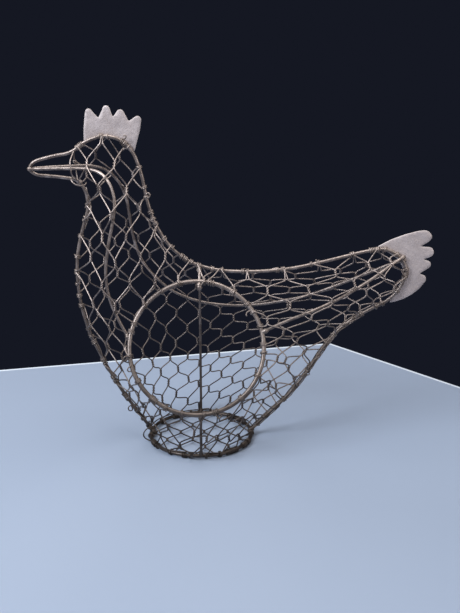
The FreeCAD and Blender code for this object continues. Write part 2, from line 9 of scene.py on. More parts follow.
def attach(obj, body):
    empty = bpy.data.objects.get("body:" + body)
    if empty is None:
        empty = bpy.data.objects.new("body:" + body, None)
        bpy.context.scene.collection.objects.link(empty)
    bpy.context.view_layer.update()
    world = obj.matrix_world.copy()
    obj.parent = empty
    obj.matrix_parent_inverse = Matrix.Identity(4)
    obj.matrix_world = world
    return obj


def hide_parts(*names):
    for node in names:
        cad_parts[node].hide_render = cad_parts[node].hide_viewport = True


# Hen-shaped wire egg basket: painted frame wires, hexagonal netting twisted from pairs of wires and
# wound round the frame, and a sheet metal comb and tail. Lengths are in millimetres until a mesh
# is made. X runs from the beak (-X) to the tail (+X), the egg opening faces -Y and +Z is up.

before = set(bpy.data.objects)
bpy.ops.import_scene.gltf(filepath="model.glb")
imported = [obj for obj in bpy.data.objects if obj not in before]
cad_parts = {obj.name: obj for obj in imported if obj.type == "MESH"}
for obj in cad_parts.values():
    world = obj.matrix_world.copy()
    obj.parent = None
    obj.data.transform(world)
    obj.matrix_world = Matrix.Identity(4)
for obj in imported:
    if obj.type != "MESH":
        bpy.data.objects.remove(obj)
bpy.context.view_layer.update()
MM = 0.001
TURN = 2 * math.pi
EAST, NORTH = Vector((1, 0, 0)), Vector((0, 1, 0))
random.seed(7)

# wire diameters
PROFILE_DIA = 3.0
SIDE_DIA = 2.8
RIB_DIA = 2.5
HOOP_DIA = 4.0
RING_DIA = 3.4
NET_DIA = 1.2
NET_RADIUS = NET_DIA / 2

# base ring and opening hoop
RING_RADIUS = 48.5
RING_HEIGHT = 2.9
RING_CENTRE = Vector((0, 0, RING_HEIGHT))
HOOP_RADIUS = 59.5
HOOP_CENTRE = Vector((-2.9, -38.4, 103.6))
HOOP_LEAN = math.radians(26.0)
HOOP_UPWARD = Vector((0, math.sin(HOOP_LEAN), math.cos(HOOP_LEAN)))

# sheet metal plates
PLATE_THICKNESS = 1.2
PLATE_OFFSET = 1.6
PLATE_BEVEL = 0.28
PLATE_GRID = 2.2
PLATE_GRID_GAP = 1.1
ARC_POINTS = 12
COMB_FOLD, TAIL_CREASE = 280, 195

# netting
TWIST_LENGTH = 6.5
NECK_COLUMN = 11.0
TAIL_COLUMN = 21.0
GATHERED_COLUMN = 7.5
CELL_AREA = 222.0
FAR_CELL_AREA = 176.0
NET_LEVEL = 120.0
NET_MIDDLE = 4.0
FLOOR_COLUMN = 11.5
FLOOR_ROW = 16.0
FLOOR_TWIST_LENGTH = 5.0
EDGE_MARGIN = 4.0
RELAX_STEPS = 160
NET_PRESSURE = 0.42
FIRST_BULGE = 20.0
CLEARANCE = 0.1
ROUND_STEPS = 48
BEND_SHARE = 0.45

# extent of the netting along X and Z
BEAK_CUT = -108.0
CHIN, GULLET, BROW = 240.0, 255.0, 262.0
SPREAD_FROM, SPREAD_OVER = -20.0, 115.0
NARROW_FROM, NARROW_OVER, NARROWING, CROWDING = 100.0, 50.0, 0.9, 0.35
TAIL_FROM, TAIL_OVER = 20.0, 90.0
GATHERED_AT, GATHERED_OVER = 40.0, 110.0
GATHERED_ROWS, GATHERED_ROW_SCALE = 70.0, 0.75
TAIL_ROWS_RISE, TAIL_ROW_STRETCH = 45.0, 0.6
HEAD_COLUMNS, SKIRT_COLUMNS, TAIL_COLUMNS = 12, 3, 14
ROWS = range(-18, 14)
FLOOR_COLUMNS, FLOOR_ROWS = range(-7, 8), range(-5, 6)
NECK_PANEL, NEAR_TAIL_PANEL, FAR_TAIL_PANEL = -58.0, 58.0, 88.0

# How the netting was pulled by hand: levels, leaning twists and small shifts that wander from cell to
# cell. A wander is its steps per column and per row.
TAIL_RISE, LEVEL_RISE, FAR_SHIFT = 0.1, 0.5, 5.0
TWIST_SHORTENING = 0.2
SIDEWAYS, MORE_SIDEWAYS, SIDEWAYS_WANDER = 1.2, 1.3, (2.3, 1.7)
UPWAYS, LESS_UPWAYS, UPWAYS_WANDER = 1.2, 0.3, (1.9, -2.6)
LEAN, LEAN_WANDER = 0.12, (1.1, 2.0)
TAIL_LEAN, TAIL_LEAN_FROM, TAIL_LEAN_OVER = 0.2, 90.0, 40.0
FLOOR_SIDEWAYS, FLOOR_WANDER = 0.8, (1.7, 2.1)
FLOOR_COLUMN_START, FLOOR_ROW_START = 0.25, 0.12

# twisted pairs and wound ends
TWIST_OFFSET = NET_RADIUS + 0.03
TWIST_HALF_TURNS = 3
HELIX_STEPS = 20
LINK_STEPS = 8
LINK_HANDLE, LINK_HANDLE_SHARE, LINK_STRAIGHT = 1.9, 0.3, 0.35
TWIST_BLEND = 0.5
COIL_STEPS = 14
COIL_PITCH = 1.15
LONG_COIL, SHORT_COIL, CROWD_DISTANCE = (1.2, 1.6, 1.6, 2.1, 2.4), 0.9, 4.2
COIL_LEAD = (1.2, 0.5)
CUT_END_LIFT = (0.1, 0.9)
LOOSE_SHARE, LOOSE_LIFT = 0.06, 0.6
EDGE_WIRE_GAP, EDGE_WIRE_RADIUS = 0.12, 0.92 * NET_RADIUS
CURL_RADIUS, CURL_LEAD, CURL_CLOSING = 0.95 * NET_RADIUS, 3.0, 0.45
BASE_WIRE_OUT, BASE_WIRE_UP = 0.9, 2.4

# how finely the round wires are drawn
FRAME_SIDES, BEAD_SIDES, NET_SIDES = 16, 12, 8
FRAME_BEND_STEPS, FRAME_SPACING = 10, 1.6
END_RINGS = ((0.42, 0.45), (0.28, 0.82))  # how far out and how wide, in radii
BEAD_RINGS = 13
SWELLING, SWELLING_LENGTH = 0.012, 17.0
PROFILE_SPACING = 1.0
HOOP_STEPS, RING_STEPS = 240, 200
HOOP_WINDING_STEPS, RING_WINDING_STEPS = 360, 300
FACE_SPACING = 1.2

# Bend points of the frame wires. The profile lies in the XZ plane and the ribs in the YZ plane.
PROFILE_POINTS = [Vector((x, 0, z)) for x, z in (
    (-45, 3), (-58, 23), (-75, 48), (-90, 77), (-102, 105), (-109, 132), (-111, 160), (-109.5, 182),
    (-103.5, 204), (-97.5, 222), (-98.5, 236), (-105, 247), (-122, 249.5), (-141, 251), (-148, 255.5),
    (-143.5, 262.5), (-128, 267), (-110, 270), (-99, 279), (-83, 285), (-68, 282), (-56.5, 271),
    (-50, 253), (-46.5, 232), (-41, 211), (-28, 187.5), (-8, 171), (18, 163.8), (50, 162.5),
    (84, 165), (118, 172.5), (150, 180.5), (170, 183.5), (184, 176.5), (192, 163), (187, 147),
    (175, 133.5), (152, 122.5), (132, 109), (117, 90), (100, 62), (81, 37.5), (61, 18.5), (46, 3),
)]
SIDE_WIRE_POINTS = [Vector(point) for point in (
    (-63.5, -33, 112), (-70, -31.5, 124), (-77, -31, 140), (-81, -31, 158), (-81, -31, 176),
    (-77, -31, 198), (-73, -30.5, 214), (-70.5, -29, 231), (-74, -25, 245), (-83, -18, 255),
    (-97, -11, 257.5), (-118, -8.5, 257.5), (-140, -6.5, 256.8), (-145.5, -1.5, 256.2),
    (-144, 4.5, 256.4), (-132, 8, 257), (-112, 9.5, 257.8), (-96, 11.5, 258.2), (-83, 18.5, 254.5),
    (-72, 26.5, 242), (-66.5, 31, 226), (-64.5, 34, 206), (-62.5, 38, 188), (-56.5, 42.5, 166),
    (-44, 46, 148), (-26, 50, 131), (0, 52.3, 119.8), (30, 50, 116.5), (58, 43.5, 119),
    (82, 34.5, 125.5), (106, 26, 133), (134, 19.5, 145.5), (160, 13.5, 158), (180, 6.5, 168.5),
    (188, 1.8, 171.5),
)]
REAR_WIRE_POINTS = [Vector(point) for point in (
    (56.9, -32.9, 115.8), (78, -31, 125), (102, -26.5, 132.5), (130, -20, 143.5), (158, -13, 159),
    (178, -6, 171.5), (186.5, -1.8, 175.5),
)]
FAR_RIB_POINTS = [Vector((0, y, z)) for y, z in (
    (1.3, 168.2), (20, 161.5), (37, 147), (50, 124), (57, 98), (59.5, 70), (57.5, 42), (52.5, 17),
    (48.8, 4.4),
)]
UPPER_RIB_POINTS = [Vector((0, y, z)) for y, z in ((-1.3, 168), (-8, 163.5), (-14.5, 153))]
LOWER_RIB_POINTS = [
    Vector((0, y, z)) for y, z in ((-64.4, 48.3), (-62.5, 34), (-57, 17), (-49.6, 3.9))]

FRAME_WIRES = [
    # piece, CAD node, bend points, diameter, phase of its unevenness
    ("profile_bent_wire", "profile_wire", PROFILE_POINTS, PROFILE_DIA, 0.4),
    ("side_bent_wire", "side_wire", SIDE_WIRE_POINTS, SIDE_DIA, 1.3),
    ("rear_side_bent_wire", "rear_side_wire", REAR_WIRE_POINTS, SIDE_DIA, 2.2),
    ("far_rib_bent_wire", "far_rib", FAR_RIB_POINTS, RIB_DIA, 3.1),
    ("upper_rib_bent_wire", "upper_rib", UPPER_RIB_POINTS, RIB_DIA, 3.9),
    ("lower_rib_bent_wire", "lower_rib", LOWER_RIB_POINTS, RIB_DIA, 4.8),
]

# Plate outlines in the XZ plane. A pair is a corner, three pairs are an arc: start, crown, end.
COMB_OUTLINE = [
    (-99, 277.5), (-98.6, 290), (-97.2, 301.5),
    [(-96.6, 305), (-93.6, 307.2), (-91.0, 305.2)], (-85.6, 299.2),
    [(-81.9, 306.6), (-78.5, 309.8), (-75.6, 307.0)], (-73.2, 299.8),
    [(-70.0, 304.2), (-66.5, 306.4), (-63.6, 304.4)], (-59.7, 296.4),
    [(-53.6, 300.6), (-50.4, 300.6), (-48.8, 297.4)], (-50.2, 289), (-55.6, 270.5),
    (-68, 281), (-83, 283.5),
]
TAIL_OUTLINE = [
    (163, 184.6), (174.5, 190.8), (188, 195.8), (199.3, 198.7),
    [(205.8, 199.4), (211.6, 196.8), (213.6, 192.4)], (210.8, 188.8), (203.1, 184.5),
    [(212.2, 183.6), (216.2, 179.2), (213.2, 174.5)], (206.6, 172.4),
    [(211.8, 170.7), (214.2, 167.6), (211.6, 163.6)], (203.7, 158.8),
    [(208.2, 157.4), (210.4, 154.4), (208.8, 150)], (204.9, 144.7), (198.2, 139.5),
    (190.7, 135.2), (183.1, 132.6), (177, 131.5),
    (184, 144), (188, 154), (188.3, 164), (183.5, 172.5), (174, 179),
]

# The netting's edge across the cheek: on the far side, and mirrored on the near side.
FACE_POINTS = [(-108.5, 12.0, 252.5), (-109, 13.0, 258), (-109.5, 11.0, 264)]

WELDS = [
    # centre, direction, length, radius
    ((-63.6, -33.4, 111.8), (-0.45, 0.1, 0.85), 8.0, 2.5),
    ((57.6, -33.2, 115.8), (0.9, 0.1, 0.4), 8.0, 2.5),
    ((187.2, 1.6, 171.4), (0.9, -0.3, 0.2), 7.0, 2.2),
    ((185.9, -1.8, 175.0), (0.9, 0.3, 0.35), 7.0, 2.2),
    ((0, -1.2, 165.4), (0, -0.8, -0.5), 7.0, 2.3),
    ((0, -14.3, 153.4), (0, -0.55, -0.8), 8.0, 2.6),
    ((0, -64.0, 48.2), (0, 0.15, -1), 8.0, 2.5),
    ((0, -50.0, 5.0), (0, 0.45, -0.85), 5.0, 2.0),
    ((0, 1.6, 166.0), (0, 1, -0.25), 7.0, 2.3),
    ((0, 48.8, 5.0), (0, -0.3, -0.9), 5.0, 2.0),
    ((-46.0, 0, 5.4), (-0.5, 0, 0.8), 6.0, 2.3),
    ((47.4, 0, 5.4), (0.6, 0, 0.7), 6.0, 2.3),
    ((-146.6, -0.4, 256.2), (1, 0.1, 0), 5.0, 2.2),
    ((-94.0, 1.5, 281.0), (1, 0, 0.35), 5.0, 1.5),
    ((-71.5, 1.5, 282.4), (1, 0, -0.2), 5.0, 1.5),
    ((-59.0, 1.5, 273.4), (0.7, 0, -0.7), 5.0, 1.5),
    ((176.0, 1.5, 181.0), (1, 0, -0.5), 6.0, 1.5),
    ((190.8, 1.5, 161.0), (0.1, 0, -1), 6.0, 1.5),
    ((182.6, 1.5, 141.0), (-0.7, 0, -0.8), 6.0, 1.5),
]

# Edge wires of the netting that run beside the profile wire.
LOWER_BREAST = ((-46, 0, 4), (-106, 0, 120))
THROAT = ((-103.5, 0, 204), (-98, 0, 240))
UNDER_TAIL = ((48, 0, 5), (152, 0, 122.5))
EDGE_WIRES = {
    # stretch of the profile, angle round it, swing, wavelength, phase
    "breast_wraps": [
        (LOWER_BREAST, -2.4, 0.7, 46.0, 0.4),
        (LOWER_BREAST, 0.5, 0.8, 39.0, 1.9),
        (THROAT, -1.9, 0.6, 24.0, 2.6),
    ],
    "under_tail_wraps": [
        (UNDER_TAIL, -1.1, 0.8, 52.0, 0.9),
        (UNDER_TAIL, 2.4, 0.7, 41.0, 2.7),
    ],
}

LONG_WINDINGS = {
    # start, turns, pitch, first angle
    "spine_wraps": [
        ((-105.5, 0, 273.5), 4.6, 1.5, 0.0),
        ((-66.5, 0, 281), 2.6, 1.35, 1.0),
        ((156, 0, 181.5), 6.4, 1.5, 0.6),
        ((-14.5, 0, 176.5), 2.5, 1.4, 2.0),
        ((-43, 0, 219), 2.4, 1.5, 0.3),
    ],
    "breast_wraps": [
        ((-98.5, 0, 96), 2.6, 1.4, 1.4),
        ((-70, 0, 41), 3.4, 1.45, 0.5),
    ],
    "under_tail_wraps": [
        ((74, 0, 31), 3.8, 1.5, 0.2),
        ((91, 0, 50.5), 2.8, 1.35, 1.1),
        ((123, 0, 97.5), 2.5, 1.4, 2.6),
    ],
    "hoop_wraps": [
        ((14, -13.0, 156), 2.7, 2.2, 0.4),
        ((-41, -58.5, 62), 2.6, 1.4, 0.2),
        ((10.8, -63.7, 51.6), 3.6, 1.5, 1.1),
        ((34, -58.8, 61.7), 2.8, 1.5, 2.2),
    ],
}

# Long windings of the base ring: place round the ring in degrees, and turns.
RING_WINDINGS = [(-62, 5.4), (-38, 4.2), (-112, 3.2), (-158, 4.6), (35, 3.4), (118, 4.4)]
RING_WINDING_PITCH = 1.5

CURLS = {
    # start, direction, axis, radius, turns
    "spine_wraps": [
        ((-46.5, -1.2, 230.5), (0.9, -0.3, 0.3), (0, -1, 0.2), 2.3, 0.7),
        ((-64.5, -1.5, 281.2), (0.8, -0.4, 0.5), (0, -1, 0), 1.6, 0.6),
    ],
    "breast_wraps": [
        ((-66, -2, 34), (-0.8, -0.2, -0.5), (0, -1, 0.1), 2.6, 0.8),
    ],
    "under_tail_wraps": [
        ((102, -2, 67), (-0.5, -0.4, -0.8), (0, -1, 0.3), 1.8, 0.6),
    ],
    "hoop_wraps": [
        ((-62, -44, 97), (-0.7, -0.5, 0.5), (0.3, -1, 0), 2.6, 0.85),
        ((-60.5, -47, 90), (-0.8, -0.4, -0.4), (0.2, -1, 0.1), 2.2, 0.8),
        ((45, -25.5, 133), (-0.9, -0.3, -0.35), (0, -1, 0.4), 3.0, 0.25),
        ((13, -66, 51), (0.5, -0.4, -0.7), (0, -1, 0), 2.2, 0.7),
    ],
}

# Loose wires: a half loop beside the base, a loop under the jowl, and the wire lashed between the
# back wire and the hoop.
LOOSE_WIRES = {
    "breast_wraps": [
        [(-46, -8, 14), (-50.5, -9.5, 13.2), (-54.2, -11, 9.5), (-54.4, -11.6, 5.2),
         (-51, -12, 2.3), (-46.5, -13.6, 1.4)],
        [(-110, -1.6, 249.5), (-110.5, -5.5, 247.4), (-107.5, -8, 244.2),
         (-102.8, -7.6, 242.4), (-99.2, -4.8, 242.8), (-98.2, -1.6, 244.5)],
    ],
    "hoop_wraps": [
        [(18.5, -2.0, 166.4), (17.0, -4.2, 165.2), (13.0, -8.0, 161.4), (8.2, -12.2, 158.4),
         (3.6, -15.6, 157.2), (1.4, -16.2, 154.0)],
    ],
}


# ---- paths

def pairs(items):
    """Each item with the one after it."""
    return zip(items[:-1], items[1:])


def clamped(value):
    return min(1.0, max(0.0, value))


def bend(before, corner, after):
    """Start, end and centre of the tangent arc that rounds a corner."""
    back = before - corner
    ahead = after - corner
    shorter = min(back.length, ahead.length)
    back.normalize()
    ahead.normalize()
    half_turn = (math.pi - back.angle(ahead)) / 2
    trim = BEND_SHARE * shorter
    radius = trim / math.tan(half_turn)
    inward = (back + ahead).normalized()
    centre = corner + inward * (radius / math.cos(half_turn))
    return corner + back * trim, corner + ahead * trim, centre


def sampled_path(points, arc_steps=4):
    """Straight runs joined by tangent arcs, as a list of points."""
    samples = [points[0]]
    for i in range(1, len(points) - 1):
        arc_start, arc_end, centre = bend(points[i - 1], points[i], points[i + 1])
        first = arc_start - centre
        last = arc_end - centre
        radius = first.length
        for step in range(arc_steps + 1):
            share = step / arc_steps
            spoke = (first * (1 - share) + last * share).normalized()
            samples.append(centre + spoke * radius)
    samples.append(points[-1])
    return samples


def circle_points(centre, across, upward, radius, count, sweep=TURN):
    """Points on a circle, or on an arc of it that starts in the direction across."""
    points = []
    for step in range(count + 1):
        angle = sweep * step / count
        points.append(centre + (across * math.cos(angle) + upward * math.sin(angle)) * radius)
    return points


def hoop_line(count):
    return circle_points(HOOP_CENTRE, EAST, HOOP_UPWARD, HOOP_RADIUS, count)


def ring_line(count):
    return circle_points(RING_CENTRE, EAST, NORTH, RING_RADIUS, count)


def running_lengths(points):
    lengths = [0.0]
    for a, b in pairs(points):
        lengths.append(lengths[-1] + (b - a).length)
    return lengths


def resampled(points, spacing):
    """The same line with evenly spaced points."""
    lengths = running_lengths(points)
    count = max(2, int(lengths[-1] / spacing))
    even = []
    index = 0
    for step in range(count + 1):
        target = lengths[-1] * step / count
        while index < len(points) - 2 and lengths[index + 1] < target:
            index += 1
        run = max(1e-9, lengths[index + 1] - lengths[index])
        share = clamped((target - lengths[index]) / run)
        even.append(points[index].lerp(points[index + 1], share))
    return even


def smooth_line(points, steps=8):
    """A smooth curve through points (Catmull-Rom)."""
    ends = [points[0] * 2 - points[1]] + list(points) + [points[-1] * 2 - points[-2]]
    line = []
    for p0, p1, p2, p3 in zip(ends[:-3], ends[1:-2], ends[2:-1], ends[3:]):
        for step in range(steps):
            t = step / steps
            line.append(
                p1 + (p2 - p0) * (0.5 * t)
                + (p0 * 2 - p1 * 5 + p2 * 4 - p3) * (0.5 * t * t)
                + (p1 * 3 - p0 - p2 * 3 + p3) * (0.5 * t ** 3)
            )
    line.append(points[-1])
    return line


def nearest_index(line, place):
    return min(range(len(line)), key=lambda i: (line[i] - place).length)


def square_to(way, axis):
    """The part of a direction that is square to an axis."""
    return (way - axis * way.dot(axis)).normalized()


def ripple(place, phase, wavelength):
    """A smooth number between -1 and 1 that varies along a line."""
    turn = TURN * place / wavelength
    return 0.6 * math.sin(turn + phase) + 0.4 * math.sin(2.3 * turn + 1.7 * phase)


# ---- meshes

def make_mesh(name, verts, faces, materials, marks=None, smooth=True):
    """A mesh in metres. marks is the material number of each face."""
    mesh = bpy.data.meshes.new(name)
    mesh.from_pydata(verts, [], faces)
    for material in materials:
        mesh.materials.append(material)
    if marks:
        mesh.polygons.foreach_set("material_index", marks)
    mesh.polygons.foreach_set("use_smooth", [smooth] * len(faces))
    mesh.update()
    return mesh


def place_piece(name, mesh, nodes):
    """A mesh as an object that rides on the basket and stands for the CAD nodes."""
    piece = bpy.data.objects.new(name, mesh)
    bpy.context.scene.collection.objects.link(piece)
    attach(piece, "root")
    if nodes:
        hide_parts(*nodes)
    return piece


def tangents_along(points, closed):
    count = len(points)
    tangents = []
    for i in range(count):
        before = points[i - 1] if closed or i > 0 else points[0]
        after = points[(i + 1) % count] if closed or i < count - 1 else points[-1]
        tangents.append((after - before).normalized())
    return tangents


def rounded_ends(points, radii):
    """Adds two shrinking rings at each end, so that the wire's ends are rounded."""
    head = (points[0] - points[1]).normalized() * radii[0]
    tail = (points[-1] - points[-2]).normalized() * radii[-1]
    front = [points[0] + head * out for out, _ in END_RINGS]
    rear = [points[-1] + tail * out for out, _ in reversed(END_RINGS)]
    front_radii = [radii[0] * share for _, share in END_RINGS]
    rear_radii = [radii[-1] * share for _, share in reversed(END_RINGS)]
    return front + list(points) + rear, front_radii + radii + rear_radii


class Wirework:
    """One mesh that gathers round wires."""

    def __init__(self):
        self.verts = []
        self.faces = []

    def add(self, points, radius, sides=NET_SIDES, closed=False):
        """A round wire along points. radius is one number, or one for each point."""
        radii = list(radius) if hasattr(radius, "__len__") else [radius] * len(points)
        if not closed:
            points, radii = rounded_ends(points, radii)
        start = len(self.verts)
        side = None
        for point, tangent, r in zip(points, tangents_along(points, closed), radii):
            if side is None:
                side = tangent.orthogonal().normalized()
            side = square_to(side, tangent)
            other = tangent.cross(side)
            for k in range(sides):
                angle = TURN * k / sides
                spoke = side * math.cos(angle) + other * math.sin(angle)
                self.verts.append((point + spoke * r) * MM)
        self.add_faces(start, len(points), sides, closed)

    def add_faces(self, start, count, sides, closed):
        """Faces between the rings of vertices, and a cap at each end of an open wire."""
        shift = self.closing_shift(start, count, sides) if closed else 0
        for i in range(count if closed else count - 1):
            low = start + i * sides
            high = start + ((i + 1) % count) * sides
            turned = shift if i == count - 1 else 0
            for k in range(sides):
                j = (k + 1) % sides
                upper = high + (j + turned) % sides, high + (k + turned) % sides
                self.faces.append((low + k, low + j, *upper))
        if not closed:
            first = [start + k for k in range(sides)]
            self.faces.append(tuple(reversed(first)))
            self.faces.append(tuple(k + (count - 1) * sides for k in first))

    def closing_shift(self, start, count, sides):
        """Which vertex of the first ring lies nearest the last ring's first vertex."""
        tip = self.verts[start + (count - 1) * sides]
        gaps = [(self.verts[start + k] - tip).length for k in range(sides)]
        return gaps.index(min(gaps))

    def piece(self, name, material, slot, nodes):
        mesh = make_mesh(name, self.verts, self.faces, [material])
        return place_piece(name, mesh, nodes)


# ---- netting layout, as in the CAD part

def crossing(a, b, c, d):
    """Where the flat segments a-b and c-d cross, as fractions of each, or None."""
    rx, ry = b[0] - a[0], b[1] - a[1]
    sx, sy = d[0] - c[0], d[1] - c[1]
    cross = rx * sy - ry * sx
    if abs(cross) < 1e-9:
        return None
    t = ((c[0] - a[0]) * sy - (c[1] - a[1]) * sx) / cross
    u = ((c[0] - a[0]) * ry - (c[1] - a[1]) * rx) / cross
    if 0 <= t <= 1 and 0 <= u <= 1:
        return t, u
    return None


def inside(point, polygon):
    """Whether a flat point is inside a closed flat polygon."""
    odd = False
    for a, b in zip(polygon, polygon[1:] + polygon[:1]):
        if (a[1] > point[1]) != (b[1] > point[1]):
            if point[0] < a[0] + (b[0] - a[0]) * (point[1] - a[1]) / (b[1] - a[1]):
                odd = not odd
    return odd


def edge(points, diameter, wraps=None, frame_wire=None):
    """A wire that netting hangs on or crosses; wraps names the CAD node of its windings."""
    return {"points": points, "radius": diameter / 2, "wraps": wraps, "frame": frame_wire}


def stretches(wires):
    """Every straight stretch of some wires: (wire, start, end)."""
    for wire in wires:
        for p, q in pairs(wire["points"]):
            yield wire, p, q


class Net:
    """Hexagonal netting laid flat over an outline, hung on its wires and drawn tight."""

    def __init__(self, flat, lift, unflatten, position, edges, hole, crossed, side):
        self.flat = flat
        self.lift = lift
        self.unflatten = unflatten
        self.position = position
        self.edges = edges
        self.rims = edges + ([hole] if hole else [])
        self.crossed = crossed
        self.side = side
        self.border = [flat(point) for wire in edges for point in wire["points"][:-1]]
        self.gap = [flat(point) for point in hole["points"]] if hole else []
        self.places = {}
        self.heights = {}
        self.strands = []
        self.anchors = {}
        self.holds = {}

    def covers(self, place):
        """Whether a place is on the net and clear of the wires at its edge."""
        if not inside(place, self.border) or inside(place, self.gap):
            return False
        return self.nearest_edge(place)[0] > EDGE_MARGIN

    def nearest_edge(self, place):
        """Closest point of the edge wires: (distance, wire, point, along)."""
        best = None
        for wire, p, q in stretches(self.rims):
            a, b = self.flat(p), self.flat(q)
            run = (b[0] - a[0], b[1] - a[1])
            length = run[0] ** 2 + run[1] ** 2
            t = (place[0] - a[0]) * run[0] + (place[1] - a[1]) * run[1]
            t = clamped(t / max(length, 1e-9))
            away = math.hypot(a[0] + run[0] * t - place[0], a[1] + run[1] * t - place[1])
            if best is None or away < best[0]:
                best = (away, wire, p + (q - p) * t, q - p)
        return best

    def edge_hit(self, a, b):
        """First edge wire between a place on the net and one off it."""
        best = None
        for wire, p, q in stretches(self.rims):
            hit = crossing(a, b, self.flat(p), self.flat(q))
            if hit and (best is None or hit[0] < best[0]):
                best = (hit[0], wire, p + (q - p) * hit[1], q - p)
        return best

    def weave(self, columns, rows):
        """Run each strand up the net and keep the stretches that lie inside the outline."""
        for strand in columns:
            chain = []
            previous = None
            for row in rows:
                column = strand if (strand - row) % 2 == 0 else strand + 1
                for end in (0, 1):
                    key = (column, row, end)
                    place = self.position(column, row, end)
                    if self.covers(place):
                        if not chain and previous is not None:
                            self.hang(chain, place, previous)
                        self.places[key] = place
                        chain.append((key, 1 if column == strand else -1))
                    elif chain:
                        self.hang(chain, self.places[chain[-1][0]], place)
                        self.strands.append(chain)
                        chain = []
                    previous = place
        self.strands = [chain for chain in self.strands if len(chain) > 2]

    def hang(self, chain, on_net, off_net):
        """End a strand on the edge wire that it reaches."""
        hit = self.edge_hit(on_net, off_net) or self.nearest_edge(off_net)
        key = ("anchor", len(self.anchors))
        self.anchors[key] = {"wire": hit[1], "point": hit[2], "along": hit[3]}
        self.places[key] = self.flat(hit[2])
        self.heights[key] = self.side * self.lift(hit[2])
        chain.append((key, 0))

    def draw_tight(self):
        """Find every height: the mean of its neighbours, pushed out a little, over crossed wires."""
        joined = {}
        stops = []
        for chain in self.strands:
            for (a, _), (b, _) in pairs(chain):
                joined.setdefault(a, []).append(b)
                joined.setdefault(b, []).append(a)
                stops += self.wires_under(a, b)
        free = [key for key in joined if key not in self.anchors]
        for key in free:
            self.heights[key] = FIRST_BULGE
        for _ in range(RELAX_STEPS):
            for key in free:
                near = joined[key]
                self.heights[key] = sum(self.heights[n] for n in near) / len(near) + NET_PRESSURE
            for a, b, t, least in stops:
                short = least - self.heights[a] * (1 - t) - self.heights[b] * t
                if short > 0:
                    for key in (a, b):
                        if key not in self.anchors:
                            self.heights[key] += short

    def wires_under(self, a, b):
        """Frame wires that the stretch a-b of a strand passes over."""
        found = []
        for wire, p, q in stretches(self.crossed):
            hit = crossing(self.places[a], self.places[b], self.flat(p), self.flat(q))
            if hit:
                level = self.side * self.lift(p + (q - p) * hit[1])
                found.append((a, b, hit[0], level + wire["radius"] + NET_RADIUS + CLEARANCE))
        return found

    def space(self, key):
        if key in self.anchors:
            return self.anchors[key]["point"]
        return self.unflatten(self.places[key], self.side * self.heights[key])


def eased(value):
    """0 below 0, 1 above 1 and a smooth step in between."""
    value = clamped(value)
    return value * value * (3 - 2 * value)


def narrowing(x):
    """0 over the body and 1 at the tail end, where the netting is drawn together."""
    return eased((x - NARROW_FROM) / NARROW_OVER)


def wander(steps, column, row, phase=0.0):
    """A number between -1 and 1 that changes from cell to cell."""
    return math.sin(steps[0] * column + steps[1] * row + phase)


def column_width(x):
    """Half the width of a cell: narrow at the neck, pulled long over the back, narrow at the tail."""
    spread = eased((x - SPREAD_FROM) / SPREAD_OVER) * (1 - NARROWING * narrowing(x))
    return NECK_COLUMN + (TAIL_COLUMN - NECK_COLUMN) * spread


def column_places(middle):
    """X of every column of the net, drawn out over the body and gathered near the base."""
    drawn, gathered = {0: middle}, {0: middle}
    for column in range(TAIL_COLUMNS):
        drawn[column + 1] = drawn[column] + column_width(drawn[column])
        gathered[column + 1] = gathered[column] + NECK_COLUMN
    for column in range(0, -HEAD_COLUMNS, -1):
        width = NECK_COLUMN if column > -SKIRT_COLUMNS else GATHERED_COLUMN
        drawn[column - 1] = drawn[column] - NECK_COLUMN
        gathered[column - 1] = gathered[column] - width
    return drawn, gathered


def side_net(sign, edges, hole, crossed, shift):
    """Netting of one flank, laid out in the side view. sign is -1 for the near flank, 1 for the far."""
    drawn, gathered = column_places(NET_MIDDLE + shift)
    cell_area = CELL_AREA if sign < 0 else FAR_CELL_AREA

    def position(column, row, end):
        column = min(max(column, -HEAD_COLUMNS), TAIL_COLUMNS)
        x = drawn[column]
        tail = clamped((x - TAIL_FROM) / TAIL_OVER)
        level = NET_LEVEL + TAIL_RISE * max(0.0, x - TAIL_FROM) + LEVEL_RISE * shift
        z = level + row * cell_area * (1 - CROWDING * narrowing(x)) / column_width(x)
        turning = GATHERED_ROWS + TAIL_ROWS_RISE * tail
        if z < turning:
            z = turning - (turning - z) * (GATHERED_ROW_SCALE + TAIL_ROW_STRETCH * tail)
        half = (end - 0.5) * TWIST_LENGTH * (1 - TWIST_SHORTENING * tail)
        z += half + (UPWAYS - LESS_UPWAYS * tail) * wander(UPWAYS_WANDER, column, row, shift)
        x = gathered[column] + (x - gathered[column]) * eased((z - GATHERED_AT) / GATHERED_OVER)
        x += (SIDEWAYS + MORE_SIDEWAYS * tail) * wander(SIDEWAYS_WANDER, column, row, shift)
        lean = LEAN * wander(LEAN_WANDER, column, row)
        lean -= TAIL_LEAN * tail * eased((z - TAIL_LEAN_FROM) / TAIL_LEAN_OVER)
        return (x + lean * half, z)

    net = Net(
        lambda point: (point.x, point.z), lambda point: point.y,
        lambda place, height: Vector((place[0], height, place[1])),
        position, edges, hole, crossed, sign,
    )
    net.up, net.outward = Vector((0, 0, 1)), Vector((0, sign, 0))
    net.weave(range(-HEAD_COLUMNS, TAIL_COLUMNS), ROWS)
    net.draw_tight()
    return net


